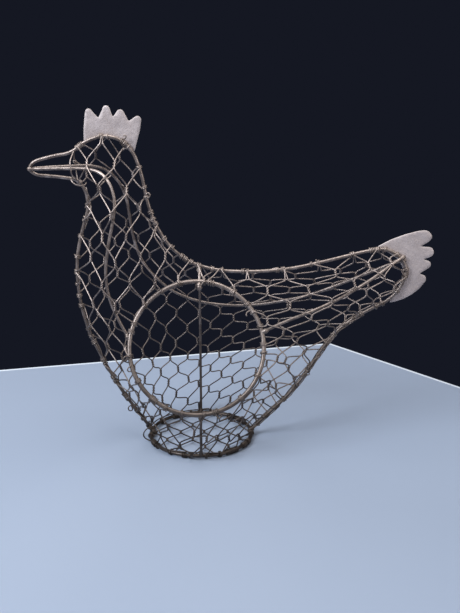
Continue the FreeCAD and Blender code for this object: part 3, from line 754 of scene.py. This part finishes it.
def floor_net(edges):
    """Netting across the base ring, laid out in the plan view."""

    def position(column, row, end):
        x = FLOOR_COLUMN * (column + FLOOR_COLUMN_START)
        x += FLOOR_SIDEWAYS * wander(FLOOR_WANDER, column, row)
        return (x, FLOOR_ROW * (row + FLOOR_ROW_START) + (end - 0.5) * FLOOR_TWIST_LENGTH)

    net = Net(
        lambda point: (point.x, point.y), lambda point: point.z,
        lambda place, height: Vector((place[0], place[1], RING_HEIGHT)),
        position, edges, None, [], 1,
    )
    net.up, net.outward = Vector((0, 1, 0)), Vector((0, 0, -1))
    net.weave(FLOOR_COLUMNS, FLOOR_ROWS)
    net.draw_tight()
    return net


def profile_edges():
    """The stretches of the profile wire that netting hangs on: throat, spine and under the tail."""
    profile = sampled_path(PROFILE_POINTS)
    front = profile[:len(profile) // 2]
    throat = [p for p in front if p.z < GULLET and (p.x > BEAK_CUT or p.z < CHIN)]
    back = [p for p in profile[len(profile) // 4:] if p not in throat and p.x > BEAK_CUT]
    tail_end = max(range(len(back)), key=lambda i: back[i].x)
    return throat, back[:tail_end + 1], back[tail_end:]


def flank_edges(sign):
    """The closed outline of one flank. sign is -1 for the near flank and 1 for the far."""
    throat, spine, under_tail = profile_edges()
    face = [throat[-1]] + [Vector((x, sign * y, z)) for x, y, z in FACE_POINTS] + [spine[0]]
    arc = circle_points(
        RING_CENTRE, EAST, NORTH * sign, RING_RADIUS, ROUND_STEPS // 2, math.pi)
    return [
        edge(throat, PROFILE_DIA, "breast_wraps", "profile"),
        edge(face, NET_DIA, None, "face"),
        edge(spine, PROFILE_DIA, "spine_wraps", "profile"),
        edge(under_tail, PROFILE_DIA, "under_tail_wraps", "profile"),
        edge([under_tail[-1]] + arc + [throat[0]], RING_DIA, "base_wraps", "ring"),
    ]


def hang_netting():
    """The near, far and floor nets on their frame wires."""
    side = sampled_path(SIDE_WIRE_POINTS)
    tip = min(range(len(side)), key=lambda i: side[i].x)
    far_crossed = [edge(side[tip:], SIDE_DIA), edge(sampled_path(FAR_RIB_POINTS), RIB_DIA)]
    near_crossed = [
        edge(side[:tip], SIDE_DIA), edge(sampled_path(REAR_WIRE_POINTS), SIDE_DIA),
        edge(sampled_path(UPPER_RIB_POINTS), RIB_DIA),
        edge(sampled_path(LOWER_RIB_POINTS), RIB_DIA),
    ]
    hoop = edge(hoop_line(ROUND_STEPS), HOOP_DIA, "hoop_wraps", "hoop")
    ring = edge(ring_line(ROUND_STEPS), RING_DIA, "base_wraps", "ring")
    near = side_net(-1, flank_edges(-1), hoop, near_crossed, 0.0)
    far = side_net(1, flank_edges(1), None, far_crossed, FAR_SHIFT)
    return near, far, floor_net([ring])


# ---- twisted strands

def strand_ports(net):
    """Each wire of the net as the ports (place, hand) it passes; a full twist swaps the hands."""
    follows = {}
    for chain in net.strands:
        for port, ahead in pairs(chain):
            follows[port] = ahead
    swapped = dict(follows)
    for (key, hand), ahead in follows.items():
        if key[0] == "anchor" or ahead[0][0] == "anchor" or key[:2] != ahead[0][:2]:
            continue
        partner = follows.get((key, -hand))
        if partner and partner[0] == ahead[0]:
            swapped[(key, hand)] = (ahead[0], -hand)
    runs = []
    for chain in net.strands:
        run = [chain[0]]
        while run[-1] in swapped:
            run.append(swapped[run[-1]])
        runs.append(run)
    return runs


def helix(net, key, hand, ahead, ahead_hand):
    """One wire of a twisted pair, and the ways in which it enters and leaves the twist."""
    low, high = net.space(key), net.space(ahead)
    axis = (high - low).normalized()
    across = square_to(EAST, axis)
    outward = axis.cross(across)
    half_turns = TWIST_HALF_TURNS if hand != ahead_hand else 0
    sense = 1 if key[1] % 2 == 0 else -1
    first = 0.0 if hand > 0 else math.pi
    points = []
    for step in range(HELIX_STEPS + 1):
        share = step / HELIX_STEPS
        angle = first + sense * half_turns * math.pi * share
        away = across * math.cos(angle) + outward * math.sin(angle)
        points.append(low.lerp(high, share) + away * TWIST_OFFSET)
    enter = (points[1] - points[0]).normalized()
    leave = (points[-1] - points[-2]).normalized()
    return (
        points, (enter * TWIST_BLEND + axis).normalized(),
        (leave * TWIST_BLEND + axis).normalized(),
    )


def link(start, start_way, end, end_way):
    """A nearly straight wire that leaves one twist and enters the next with small bends."""
    length = (end - start).length
    handle = min(LINK_HANDLE, LINK_HANDLE_SHARE * length)
    line = (end - start).normalized()
    first = start + (start_way + line * LINK_STRAIGHT).normalized() * handle
    second = end - (end_way + line * LINK_STRAIGHT).normalized() * handle
    points = []
    for step in range(1, LINK_STEPS):
        t = step / LINK_STEPS
        s = 1 - t
        points.append(
            start * s ** 3 + first * 3 * s * s * t + second * 3 * s * t * t + end * t ** 3)
    return points


def anchor_hold(net, key, neighbour):
    """Where a strand touches the frame wire it is wound round: touch point and winding axes."""
    anchor = net.anchors[key]
    along = anchor["along"].normalized()
    towards = square_to(neighbour - anchor["point"], along)
    normal = along.cross(towards)
    if normal.dot(net.outward) < 0:
        normal = -normal
    if key[1] % 5 == 1:
        normal = -normal
    reach = anchor["wire"]["radius"] + NET_RADIUS
    return anchor["point"] + normal * reach, along, towards, normal, reach


def twist_end(net, key, hand):
    """The place of a wire at an end of a twist whose other end is off the net."""
    return net.space(key) + EAST * (hand * TWIST_OFFSET)


def twist_entry(net, key, hand, follow):
    """Where a wire enters the twist at key, and in which direction."""
    if follow and follow[0][0] != "anchor" and follow[0][:2] == key[:2]:
        points, enter, _ = helix(net, key, hand, *follow)
        return points[0], enter
    return twist_end(net, key, hand), net.up


def strand_line(net, run):
    """Centre line of one wire from wrap to wrap. Its two holds are kept in the net."""
    points = []
    way = None
    for index, ((key, hand), (ahead, ahead_hand)) in enumerate(pairs(run)):
        if ahead[0] == "anchor":
            net.holds[ahead] = anchor_hold(net, ahead, net.space(key))
            touch, _, towards, _, _ = net.holds[ahead]
            points += link(points[-1], way, touch, -towards) + [touch]
            continue
        if key[:2] == ahead[:2]:
            turn, _, way = helix(net, key, hand, ahead, ahead_hand)
            points += turn
            continue
        if key[0] == "anchor":
            net.holds[key] = anchor_hold(net, key, net.space(ahead))
            touch, _, way, _, _ = net.holds[key]
            points.append(touch)
        elif not points or index > 0 and run[index - 1][0][0] == "anchor":
            points.append(twist_end(net, key, hand))
            way = net.up
        follow = run[index + 2] if index + 2 < len(run) else None
        target, target_way = twist_entry(net, ahead, ahead_hand, follow)
        points += link(points[-1], way, target, target_way)
    return points


def coil(hold, turns, slide, lift):
    """A wire wound round a frame wire from the touch point on, its cut end lifted a little."""
    touch, along, towards, normal, reach = hold
    centre = touch - normal * reach
    count = max(6, int(turns * COIL_STEPS))
    points = [touch + towards * lead for lead in COIL_LEAD]
    for step in range(count + 1):
        angle = TURN * turns * step / count
        rise = max(0.0, step / count - 0.9) * 10 * lift
        away = normal * math.cos(angle) - towards * math.sin(angle)
        shift = along * (slide * COIL_PITCH * angle / TURN)
        points.append(centre + away * (reach + rise) + shift)
    return points


def panel_of(net, run):
    """Name of the CAD panel that a wire belongs to, by where its middle lies."""
    points = [net.space(key) for key, _ in run]
    middle = sum(p.x for p in points) / len(points)
    height = sum(p.z for p in points) / len(points)
    if net.side > 0:
        if middle < NECK_PANEL:
            return "far_neck_net"
        return "far_body_net" if middle < FAR_TAIL_PANEL else "far_tail_net"
    if middle < NECK_PANEL:
        return "near_neck_net"
    if middle > NEAR_TAIL_PANEL:
        return "near_tail_net"
    return "near_back_net" if height > HOOP_CENTRE.z else "near_skirt_net"


def weave_netting(near, far, floor):
    """The netting as one mesh for each CAD panel."""
    panels = {}
    for net in (near, far, floor):
        for run in strand_ports(net):
            name = "floor_net" if net is floor else panel_of(net, run)
            panels.setdefault(name, Wirework()).add(strand_line(net, run), NET_RADIUS)
        if net is not floor:
            face = resampled(smooth_line(net.edges[1]["points"]), FACE_SPACING)
            panels["near_neck_net" if net is near else "far_neck_net"].add(face, NET_RADIUS)
    return panels


def wind_ends(nets):
    """Every strand's end wound round its frame wire, as one mesh for each CAD node."""
    windings = {}
    placed = {}
    for net in nets:
        for key, hold in net.holds.items():
            wire = net.anchors[key]["wire"]
            point = net.anchors[key]["point"]
            taken = placed.setdefault(wire["frame"], [])
            crowded = any((point - other).length < CROWD_DISTANCE for other in taken)
            taken.append(point)
            turns = SHORT_COIL if crowded else random.choice(LONG_COIL)
            slide = random.choice((-1, 1))
            lift = 0.0 if wire["frame"] == "ring" else random.uniform(*CUT_END_LIFT)
            group = windings.setdefault(wire["wraps"] or "breast_wraps", Wirework())
            group.add(coil(hold, turns, slide, lift), NET_RADIUS)
    return windings


# ---- frame wires and welds

def frame_wire(name, node, points, diameter, phase, closed=False):
    """A painted frame wire with slow swellings, which stands for its CAD node."""
    line = resampled(points, FRAME_SPACING)
    if closed:
        line = line[:-1]
    radii = [
        diameter / 2 * (1 + SWELLING * ripple(i * FRAME_SPACING, phase, SWELLING_LENGTH))
        for i in range(len(line))
    ]
    work = Wirework()
    work.add(line, radii, FRAME_SIDES, closed)
    work.piece(name, PAINT, "frame_wire", [node])


def bead(work, centre, along, length, radius, phase):
    """A weld bead: a lumpy swelling with its axis along a wire."""
    along = along.normalized()
    side = along.orthogonal().normalized()
    other = along.cross(side)
    points, radii = [], []
    for i in range(BEAD_RINGS):
        share = 2 * i / (BEAD_RINGS - 1) - 1
        drift = side * math.sin(3 * share + phase) + other * math.cos(2.2 * share + 2 * phase)
        points.append(centre + along * (share * length / 2) + drift * (0.08 * radius))
        swell = math.sqrt(max(0.02, 1 - share * share))
        radii.append(radius * swell * (1 + 0.06 * math.sin(9 * share + 3 * phase)))
    work.add(points, radii, BEAD_SIDES)


def make_frame():
    for name, node, points, diameter, phase in FRAME_WIRES:
        frame_wire(name, node, sampled_path(points, FRAME_BEND_STEPS), diameter, phase)
    frame_wire("opening_hoop_wire", "opening_hoop", hoop_line(HOOP_STEPS), HOOP_DIA, 5.6, closed=True)
    frame_wire("base_ring_wire", "base_ring", ring_line(RING_STEPS), RING_DIA, 6.5, closed=True)
    beads = Wirework()
    for index, (centre, along, length, radius) in enumerate(WELDS):
        bead(beads, Vector(centre), Vector(along), length, radius, 1.9 * index)
    beads.piece("weld_beads", PAINT, "frame_wire", [])


# ---- extra windings and loose ends

def around(along, angle):
    """A direction square to a wire, at an angle round it from +Y."""
    across = square_to(NORTH, along)
    return across * math.cos(angle) + along.cross(across) * math.sin(angle)


def winding(work, line, reach, start, turns, pitch, first, end_lift=1.0):
    """A wire wound round a frame line from the point nearest to start, for some turns."""
    line = line[nearest_index(line, start):]
    lengths = running_lengths(line)
    points = []
    count = int(turns * COIL_STEPS)
    for step in range(count + 1):
        share = step / count
        target = turns * pitch * share
        index = max(i for i, value in enumerate(lengths) if value <= target or i == 0)
        index = min(index, len(lengths) - 2)
        along = (line[index + 1] - line[index]).normalized()
        place = line[index] + along * (target - lengths[index])
        past = max(0.0, share - 1 + LOOSE_SHARE) + max(0.0, LOOSE_SHARE - share)
        lift = end_lift * past / LOOSE_SHARE * LOOSE_LIFT
        points.append(place + around(along, first + TURN * turns * share) * (reach + lift))
    work.add(points, NET_RADIUS)


def curl(work, start, way, normal, radius, turns):
    """A loose end: a short straight lead, then a curl that closes in."""
    way = way.normalized()
    normal = square_to(normal, way)
    side = normal.cross(way)
    points = [start + way * (CURL_LEAD * share) for share in (0.0, 0.5, 1.0)]
    place = points[-1]
    count = int(turns * COIL_STEPS)
    step_angle = TURN * turns / count
    for step in range(count):
        share = step / count
        way = (way * math.cos(step_angle) + side * math.sin(step_angle)).normalized()
        side = normal.cross(way)
        stride = radius * (1 - (1 - CURL_CLOSING) * share) * step_angle
        place = place + way * stride + normal * (0.12 * share)
        points.append(place)
    work.add(points, CURL_RADIUS)


def edge_wire(work, line, reach, first, swing, wavelength, phase):
    """The netting's edge wire: it runs beside a frame wire and winds slowly over it."""
    points = []
    travelled = 0.0
    for i, p in enumerate(line):
        before = line[max(i - 1, 0)]
        along = (line[min(i + 1, len(line) - 1)] - before).normalized()
        travelled += (p - before).length
        angle = first + swing * ripple(travelled, phase, wavelength)
        gap = EDGE_WIRE_GAP * (1 + ripple(travelled, 2 * phase, 0.6 * wavelength))
        points.append(p + around(along, angle) * (reach + gap))
    work.add(points, EDGE_WIRE_RADIUS)


def add_extra_windings(windings):
    """Edge wires, long windings, curled cut ends and loose wires, each at its own place."""
    profile = resampled(sampled_path(PROFILE_POINTS, 8), PROFILE_SPACING)
    hoop, ring = hoop_line(HOOP_WINDING_STEPS), ring_line(RING_WINDING_STEPS)
    for group, work in windings.items():
        line, diameter = (hoop, HOOP_DIA) if group == "hoop_wraps" else (profile, PROFILE_DIA)
        reach = diameter / 2 + NET_RADIUS
        for ends, *shape in EDGE_WIRES.get(group, []):
            first, last = sorted(nearest_index(line, Vector(end)) for end in ends)
            edge_wire(work, line[first:last + 1], reach, *shape)
        for start, *shape in LONG_WINDINGS.get(group, []):
            winding(work, line, reach, Vector(start), *shape)
        for start, way, axis, radius, turns in CURLS.get(group, []):
            curl(work, Vector(start), Vector(way), Vector(axis), radius, turns)
        for points in LOOSE_WIRES.get(group, []):
            work.add(smooth_line([Vector(point) for point in points]), NET_RADIUS)
    base = windings["base_wraps"]
    for degrees, turns in RING_WINDINGS:
        angle = math.radians(degrees)
        place = Vector((RING_RADIUS * math.cos(angle), RING_RADIUS * math.sin(angle), RING_HEIGHT))
        winding(base, ring, RING_DIA / 2 + NET_RADIUS, place, turns, RING_WINDING_PITCH,
                0.8 * degrees, 0.0)
    loose_base_wire(base)


def loose_base_wire(work, count=240):
    """The netting's last edge wire, run round the base ring just inside and above it."""
    points = []
    for step in range(count):
        angle = TURN * step / count
        out = RING_RADIUS + BASE_WIRE_OUT + 1.3 * math.sin(5 * angle + 0.4)
        height = RING_HEIGHT + BASE_WIRE_UP + 0.7 * math.sin(3 * angle + 1.0)
        points.append(Vector((out * math.cos(angle), out * math.sin(angle), height)))
    work.add(points, EDGE_WIRE_RADIUS, closed=True)


# ---- sheet metal plates

def arc_through(start, crown, end, count):
    """Points of the arc through three flat points."""
    ax, ay = start
    bx, by = crown
    cx, cy = end
    d = 2 * (ax * (by - cy) + bx * (cy - ay) + cx * (ay - by))
    a2, b2, c2 = ax * ax + ay * ay, bx * bx + by * by, cx * cx + cy * cy
    ux = (a2 * (by - cy) + b2 * (cy - ay) + c2 * (ay - by)) / d
    uy = (a2 * (cx - bx) + b2 * (ax - cx) + c2 * (bx - ax)) / d
    radius = math.hypot(ax - ux, ay - uy)
    first, middle, last = (math.atan2(y - uy, x - ux) for x, y in (start, crown, end))
    turn = (last - first) % TURN
    if (middle - first) % TURN > turn:
        turn -= TURN
    angles = [first + turn * i / count for i in range(count)]
    return [(ux + radius * math.cos(angle), uy + radius * math.sin(angle)) for angle in angles]


def straight_points(a, b, spacing):
    count = max(1, int(math.hypot(b[0] - a[0], b[1] - a[1]) / spacing))
    shares = [i / count for i in range(count)]
    return [(a[0] + (b[0] - a[0]) * share, a[1] + (b[1] - a[1]) * share) for share in shares]


def outline_points(stations, spacing=1.0):
    """A plate's closed outline as closely spaced flat points, anticlockwise."""
    points = []
    corner = stations[-1]
    for station in stations:
        is_arc = isinstance(station, list)
        points += straight_points(corner, station[0] if is_arc else station, spacing)
        if is_arc:
            points += arc_through(*station, ARC_POINTS)
        corner = station[-1] if is_arc else station
    area = sum(p[0] * q[1] - q[0] * p[1] for p, q in zip(points, points[1:] + points[:1]))
    return points if area > 0 else points[::-1]


def with_neighbours(points):
    return zip(points[-1:] + points[:-1], points, points[1:] + points[:1])


def rounded(points, rounds):
    """Corners eased by averaging each point with its neighbours."""
    for _ in range(rounds):
        points = [
            (0.5 * q[0] + 0.25 * (p[0] + r[0]), 0.5 * q[1] + 0.25 * (p[1] + r[1]))
            for p, q, r in with_neighbours(points)
        ]
    return points


def inset(points, amount):
    moved = []
    for p, q, r in with_neighbours(points):
        dx, dy = r[0] - p[0], r[1] - p[1]
        length = max(1e-6, math.hypot(dx, dy))
        moved.append((q[0] - dy / length * amount, q[1] + dx / length * amount))
    return moved


def grid_inside(face):
    """Points in even triangles over a flat outline, clear of its edge."""
    high_x, high_z = max(p[0] for p in face), max(p[1] for p in face)
    grid = []
    row = 0
    z = min(p[1] for p in face)
    while z < high_z:
        x = min(p[0] for p in face) + (row % 2) * PLATE_GRID / 2
        while x < high_x:
            gap = min(math.hypot(x - p[0], z - p[1]) for p in face)
            if inside((x, z), face) and gap > PLATE_GRID_GAP:
                grid.append((x, z))
            x += PLATE_GRID
        z += PLATE_GRID * 0.87
        row += 1
    return grid


def plate(name, node, stations, warp):
    """Sheet metal: two faces that bow a little, and a rounded, lighter cut edge."""
    outline = rounded(outline_points(stations), 2)
    face = inset(outline, PLATE_BEVEL)
    count = len(outline)
    flat, _, triangles, _, _, _ = delaunay_2d_cdt(
        [Vector(p) for p in face + grid_inside(face)], [], [list(range(count))], 1, 1e-5)
    total = len(flat)
    front, back = PLATE_OFFSET, PLATE_OFFSET + PLATE_THICKNESS
    verts = []
    for depth, places in (
            (front, flat), (back, flat),
            (front + PLATE_BEVEL, outline), (back - PLATE_BEVEL, outline)):
        verts += [Vector((x, depth + warp(x, z), z)) * MM for x, z in places]
    faces, marks = [], []
    for triangle in triangles:
        a, b, c = (flat[i] for i in triangle)
        turn = (b.x - a.x) * (c.y - a.y) - (b.y - a.y) * (c.x - a.x)
        order = triangle if turn > 0 else triangle[::-1]
        faces.append(tuple(order))
        faces.append(tuple(total + i for i in reversed(order)))
        marks += [0, 0]
    levels = (0, 2 * total, 2 * total + count, total)
    for i in range(count):
        j = (i + 1) % count
        for low, high in pairs(levels):
            faces.append((low + j, low + i, high + i, high + j))
            marks.append(1)
    mesh = make_mesh(name, verts, faces, [PLATE_PAINT, PLATE_EDGE], marks)
    place_piece(name, mesh, [node])


def comb_warp(x, z):
    height = max(0.0, z - COMB_FOLD)
    return 0.0011 * height * height + 0.12 * math.sin(0.35 * x + 0.2 * z)


def tail_warp(x, z):
    past_crease = max(0.0, x - TAIL_CREASE)
    return 0.06 * past_crease + 0.14 * math.sin(0.3 * z + 0.16 * x) * min(1.0, past_crease / 6)


# ---- materials

class Nodes:
    """Shorthand for building one node material."""

    def __init__(self, name):
        self.material = bpy.data.materials.new(name)
        self.material.use_nodes = True
        self.tree = self.material.node_tree
        self.shader = self.tree.nodes["Principled BSDF"]
        self.place = self.tree.nodes.new("ShaderNodeTexCoord").outputs["Object"]

    def link(self, source, target):
        self.tree.links.new(source, target)

    def to_shader(self, source, name):
        self.link(source, self.shader.inputs[name])

    def noise(self, scale, detail=4.0, rough=0.55, distort=0.0):
        node = self.tree.nodes.new("ShaderNodeTexNoise")
        node.inputs["Scale"].default_value = scale
        node.inputs["Detail"].default_value = detail
        node.inputs["Roughness"].default_value = rough
        node.inputs["Distortion"].default_value = distort
        self.link(self.place, node.inputs["Vector"])
        return node.outputs["Fac"]

    def ramp(self, source, *stops):
        """stops: (position, value or colour)."""
        node = self.tree.nodes.new("ShaderNodeValToRGB")
        while len(node.color_ramp.elements) < len(stops):
            node.color_ramp.elements.new(0.5)
        for element, (position, colour) in zip(node.color_ramp.elements, stops):
            element.position = position
            if not hasattr(colour, "__len__"):
                colour = (colour, colour, colour)
            element.color = (*colour, 1.0)
        self.link(source, node.inputs["Fac"])
        return node.outputs["Color"]

    def mix(self, factor, a, b):
        node = self.tree.nodes.new("ShaderNodeMix")
        node.data_type = "RGBA"
        self.link(factor, node.inputs["Factor"])
        for value, socket in ((a, node.inputs[6]), (b, node.inputs[7])):
            if hasattr(value, "__len__"):
                socket.default_value = (*value, 1.0)
            else:
                self.link(value, socket)
        return node.outputs[2]

    def product(self, a, b):
        node = self.tree.nodes.new("ShaderNodeMath")
        node.operation = "MULTIPLY"
        node.use_clamp = True
        self.link(a, node.inputs[0])
        self.link(b, node.inputs[1])
        return node.outputs[0]

    def rise(self, source, low, high):
        """0 to 1 as the Z part of a vector goes from low to high."""
        split = self.tree.nodes.new("ShaderNodeSeparateXYZ")
        spread = self.tree.nodes.new("ShaderNodeMapRange")
        self.link(source, split.inputs[0])
        self.link(split.outputs["Z"], spread.inputs["Value"])
        spread.inputs["From Min"].default_value = low
        spread.inputs["From Max"].default_value = high
        return spread.outputs["Result"]

    def facing_up(self, low, high):
        """0 to 1 as the surface turns from facing level to facing up."""
        geometry = self.tree.nodes.new("ShaderNodeNewGeometry")
        return self.rise(geometry.outputs["Normal"], low, high)

    def bump(self, height, distance, strength, below=None):
        node = self.tree.nodes.new("ShaderNodeBump")
        node.inputs["Distance"].default_value = distance
        node.inputs["Strength"].default_value = strength
        self.link(height, node.inputs["Height"])
        if below is not None:
            self.link(below, node.inputs["Normal"])
        return node.outputs["Normal"]


# Painted shade: lower down, the wire colour is mixed towards dark brown, fading out between the two
# heights below (metres).
SHADE_DARK, SHADE_PALE = (0.035, 0.026, 0.022), (0.075, 0.058, 0.05)
SHADE_FADE_FROM, UNSHADED_FROM = 0.01, 0.19
WIRE_RUST = (0.035, 0.021, 0.016)
SHEET_RUST = (0.10, 0.075, 0.07)
WIRE_METALLIC, SHEET_METALLIC = 0.62, 0.2


def painted_wire(name, dark, middle, light, roughness):
    """Brushed-on paint over wire: mottled, with a painted highlight on its upper sides, specked with
    rust, and painted shade towards the bottom.
    """
    n = Nodes(name)
    mottle = n.ramp(n.noise(95.0, 5.0, 0.6, 0.3), (0.3, dark), (0.5, middle), (0.75, light))
    patches = n.ramp(n.noise(420.0, 3.0), (0.3, 0.25), (0.62, 1.0))
    # Painted highlight: in noise patches, the mottle is mixed towards the light tone where the surface
    # faces up.
    mottle_and_top_highlight = n.mix(n.product(n.facing_up(-0.1, 0.9), patches), mottle, light)
    specks = n.ramp(n.noise(1500.0, 2.0), (0.66, 0.0), (0.72, 0.75))
    specked = n.mix(specks, mottle_and_top_highlight, WIRE_RUST)
    # Painted shade: the wires are darker towards the bottom of the basket.
    low_shade = n.ramp(n.noise(60.0, 3.0), (0.35, SHADE_DARK), (0.7, SHADE_PALE))
    n.to_shader(n.mix(n.rise(n.place, SHADE_FADE_FROM, UNSHADED_FROM), low_shade, specked), "Base Color")
    gloss = n.ramp(n.noise(650.0, 3.0), (0.3, roughness[0]), (0.7, roughness[1]))
    n.to_shader(gloss, "Roughness")
    n.shader.inputs["Metallic"].default_value = WIRE_METALLIC
    lumps = n.bump(n.noise(480.0, 3.0), 0.0004, 0.35)
    n.to_shader(n.bump(n.noise(2600.0, 2.0), 0.00012, 0.5, lumps), "Normal")
    return n.material


def painted_sheet(name, dark, middle, light, speckle_tint):
    """Matt paint on sheet metal: cloudy, with fine speckle and small dents."""
    n = Nodes(name)
    clouds = n.ramp(n.noise(55.0, 4.0, 0.6, 0.4), (0.28, dark), (0.5, middle), (0.72, light))
    speckle = n.ramp(n.noise(2100.0, 2.0, 0.7), (0.36, 0.0), (0.64, 0.55))
    fine = n.mix(speckle, clouds, speckle_tint)
    specks = n.ramp(n.noise(1300.0, 2.0), (0.67, 0.0), (0.73, 0.6))
    n.to_shader(n.mix(specks, fine, SHEET_RUST), "Base Color")
    n.to_shader(n.ramp(n.noise(300.0, 3.0), (0.3, 0.46), (0.7, 0.66)), "Roughness")
    n.shader.inputs["Metallic"].default_value = SHEET_METALLIC
    dents = n.bump(n.noise(260.0, 3.0), 0.0012, 0.42)
    n.to_shader(n.bump(n.noise(2200.0, 2.0), 0.00012, 0.45, dents), "Normal")
    return n.material


def table_paint(name, dark, light):
    n = Nodes(name)
    n.to_shader(n.ramp(n.noise(1.6, 2.0), (0.3, dark), (0.7, light)), "Base Color")
    n.to_shader(n.ramp(n.noise(9.0, 2.0), (0.3, 0.3), (0.7, 0.36)), "Roughness")
    n.shader.inputs["Specular IOR Level"].default_value = 0.3
    return n.material


PAINT = painted_wire(
    "frame_paint", (0.075, 0.054, 0.047), (0.185, 0.145, 0.13), (0.44, 0.37, 0.34), (0.3, 0.48))
NET_PAINT = painted_wire(
    "net_paint", (0.085, 0.063, 0.055), (0.21, 0.166, 0.15), (0.47, 0.397, 0.37), (0.3, 0.48))
WRAP_PAINT = painted_wire(
    "wrap_paint", (0.075, 0.055, 0.047), (0.18, 0.142, 0.127), (0.43, 0.36, 0.33), (0.32, 0.5))
PLATE_PAINT = painted_sheet(
    "plate_paint",
    (0.275, 0.23, 0.228), (0.365, 0.312, 0.312), (0.45, 0.388, 0.388), (0.54, 0.47, 0.468))
PLATE_EDGE = painted_sheet(
    "plate_edge_paint",
    (0.40, 0.35, 0.345), (0.50, 0.44, 0.435), (0.60, 0.54, 0.53), (0.70, 0.64, 0.63))


# ---- table, light and camera (metres)

TABLE_CORNERS = [Vector(p) for p in ((0.172, 0.277), (-1.5, -0.07), (-1.5, -2.2), (1.9, -2.0))]
TABLE_THICKNESS = 0.03
TABLE_BEVEL = 0.003
CAMERA_PLACE = (0.0023, -0.668, 0.319)
CAMERA_DOWN, CAMERA_RIGHT = 15.8, 2.2
CAMERA_SENSOR, CAMERA_LENS = 36.0, 44.05
NIGHT_BLUE = (0.0075, 0.009, 0.016, 1.0)

LIGHTS = [
    # name, place, target, size, power, colour, whether glossy surfaces mirror it
    ("window_light", (-1.1, -0.75, 1.15), (0.0, 0.0, 0.12), (0.8, 0.8), 38.0,
     (0.90, 0.95, 1.0), True),
    ("top_light", (0.15, -0.1, 1.5), (0.05, 0.0, 0.0), (1.2, 0.9), 16.0,
     (1.0, 0.97, 0.93), True),
    ("rear_light", (-0.3, 1.3, 1.0), (0.05, 0.0, 0.12), (1.0, 1.0), 12.0,
     (0.95, 0.97, 1.0), False),
    ("fill_light", (1.3, -0.9, 0.6), (0.05, 0.0, 0.12), (1.0, 1.0), 10.5,
     (1.0, 0.96, 0.92), True),
]


def make_table():
    """A pale table top, its rear corner behind the tail, with a rounded upper edge painted lighter as a
    highlight.
    """
    centre = sum(TABLE_CORNERS, Vector((0, 0))) / len(TABLE_CORNERS)
    bevel = TABLE_BEVEL
    rings = [
        (0.0, -TABLE_THICKNESS), (0.0, -bevel), (bevel * 0.3, -bevel * 0.3), (bevel, 0.0),
        (bevel * 2.6, 0.0),
    ]
    verts, faces = [], [(0, 1, 2, 3)]
    for shrink, z in rings:
        for corner in TABLE_CORNERS:
            towards = (centre - corner).normalized() * shrink
            verts.append((corner.x + towards.x, corner.y + towards.y, z))
    for low in range(0, 16, 4):
        for i in range(4):
            j = (i + 1) % 4
            faces.append((low + j, low + i, low + 4 + i, low + 4 + j))
    faces.append((19, 18, 17, 16))
    # The rounded upper edge takes the second, lighter paint: a painted highlight along the rim.
    marks = [0] * 5 + [1] * 12 + [0]
    paints = [
        table_paint("pale_table", (0.25, 0.298, 0.392), (0.272, 0.32, 0.415)),
        table_paint("table_rim_highlight", (0.55, 0.60, 0.68), (0.62, 0.67, 0.74)),
    ]
    mesh = make_mesh("table_top", verts, faces, paints, marks, smooth=False)
    table = bpy.data.objects.new("table_top", mesh)
    bpy.context.scene.collection.objects.link(table)


def area_light(name, place, target, size, power, colour, mirrored):
    light = bpy.data.lights.new(name, "AREA")
    light.shape = "RECTANGLE"
    light.size, light.size_y = size
    light.energy = power
    light.color = colour
    lamp = bpy.data.objects.new(name, light)
    lamp.location = place
    lamp.visible_glossy = mirrored
    lamp.rotation_mode = "QUATERNION"
    lamp.rotation_quaternion = (Vector(target) - Vector(place)).to_track_quat("-Z", "Y")
    bpy.context.scene.collection.objects.link(lamp)


def make_camera():
    camera = bpy.data.cameras.new("camera")
    camera.sensor_width = CAMERA_SENSOR
    camera.lens = CAMERA_LENS
    holder = bpy.data.objects.new("camera", camera)
    holder.location = CAMERA_PLACE
    holder.rotation_euler = (math.radians(90 - CAMERA_DOWN), 0.0, math.radians(-CAMERA_RIGHT))
    bpy.context.scene.collection.objects.link(holder)
    bpy.context.scene.camera = holder


def make_world():
    world = bpy.data.worlds.new("studio")
    world.use_nodes = True
    background = world.node_tree.nodes["Background"]
    background.inputs["Color"].default_value = NIGHT_BLUE
    background.inputs["Strength"].default_value = 1.0
    bpy.context.scene.world = world
    bpy.context.scene.view_settings.view_transform = "Standard"


# ---- the basket on its table

make_frame()
plate("comb_sheet", "comb_plate", COMB_OUTLINE, comb_warp)
plate("tail_sheet", "tail_plate", TAIL_OUTLINE, tail_warp)

nets = hang_netting()
panels = weave_netting(*nets)
windings = wind_ends(nets)
add_extra_windings(windings)
for node, work in sorted(panels.items()):
    work.piece(node.replace("_net", "_netting"), NET_PAINT, "net_wire", [node])
for node, work in sorted(windings.items()):
    work.piece(node.replace("_wraps", "_windings"), WRAP_PAINT, "wrap_wire", [node])

make_table()
for light in LIGHTS:
    area_light(*light)
make_world()
make_camera()
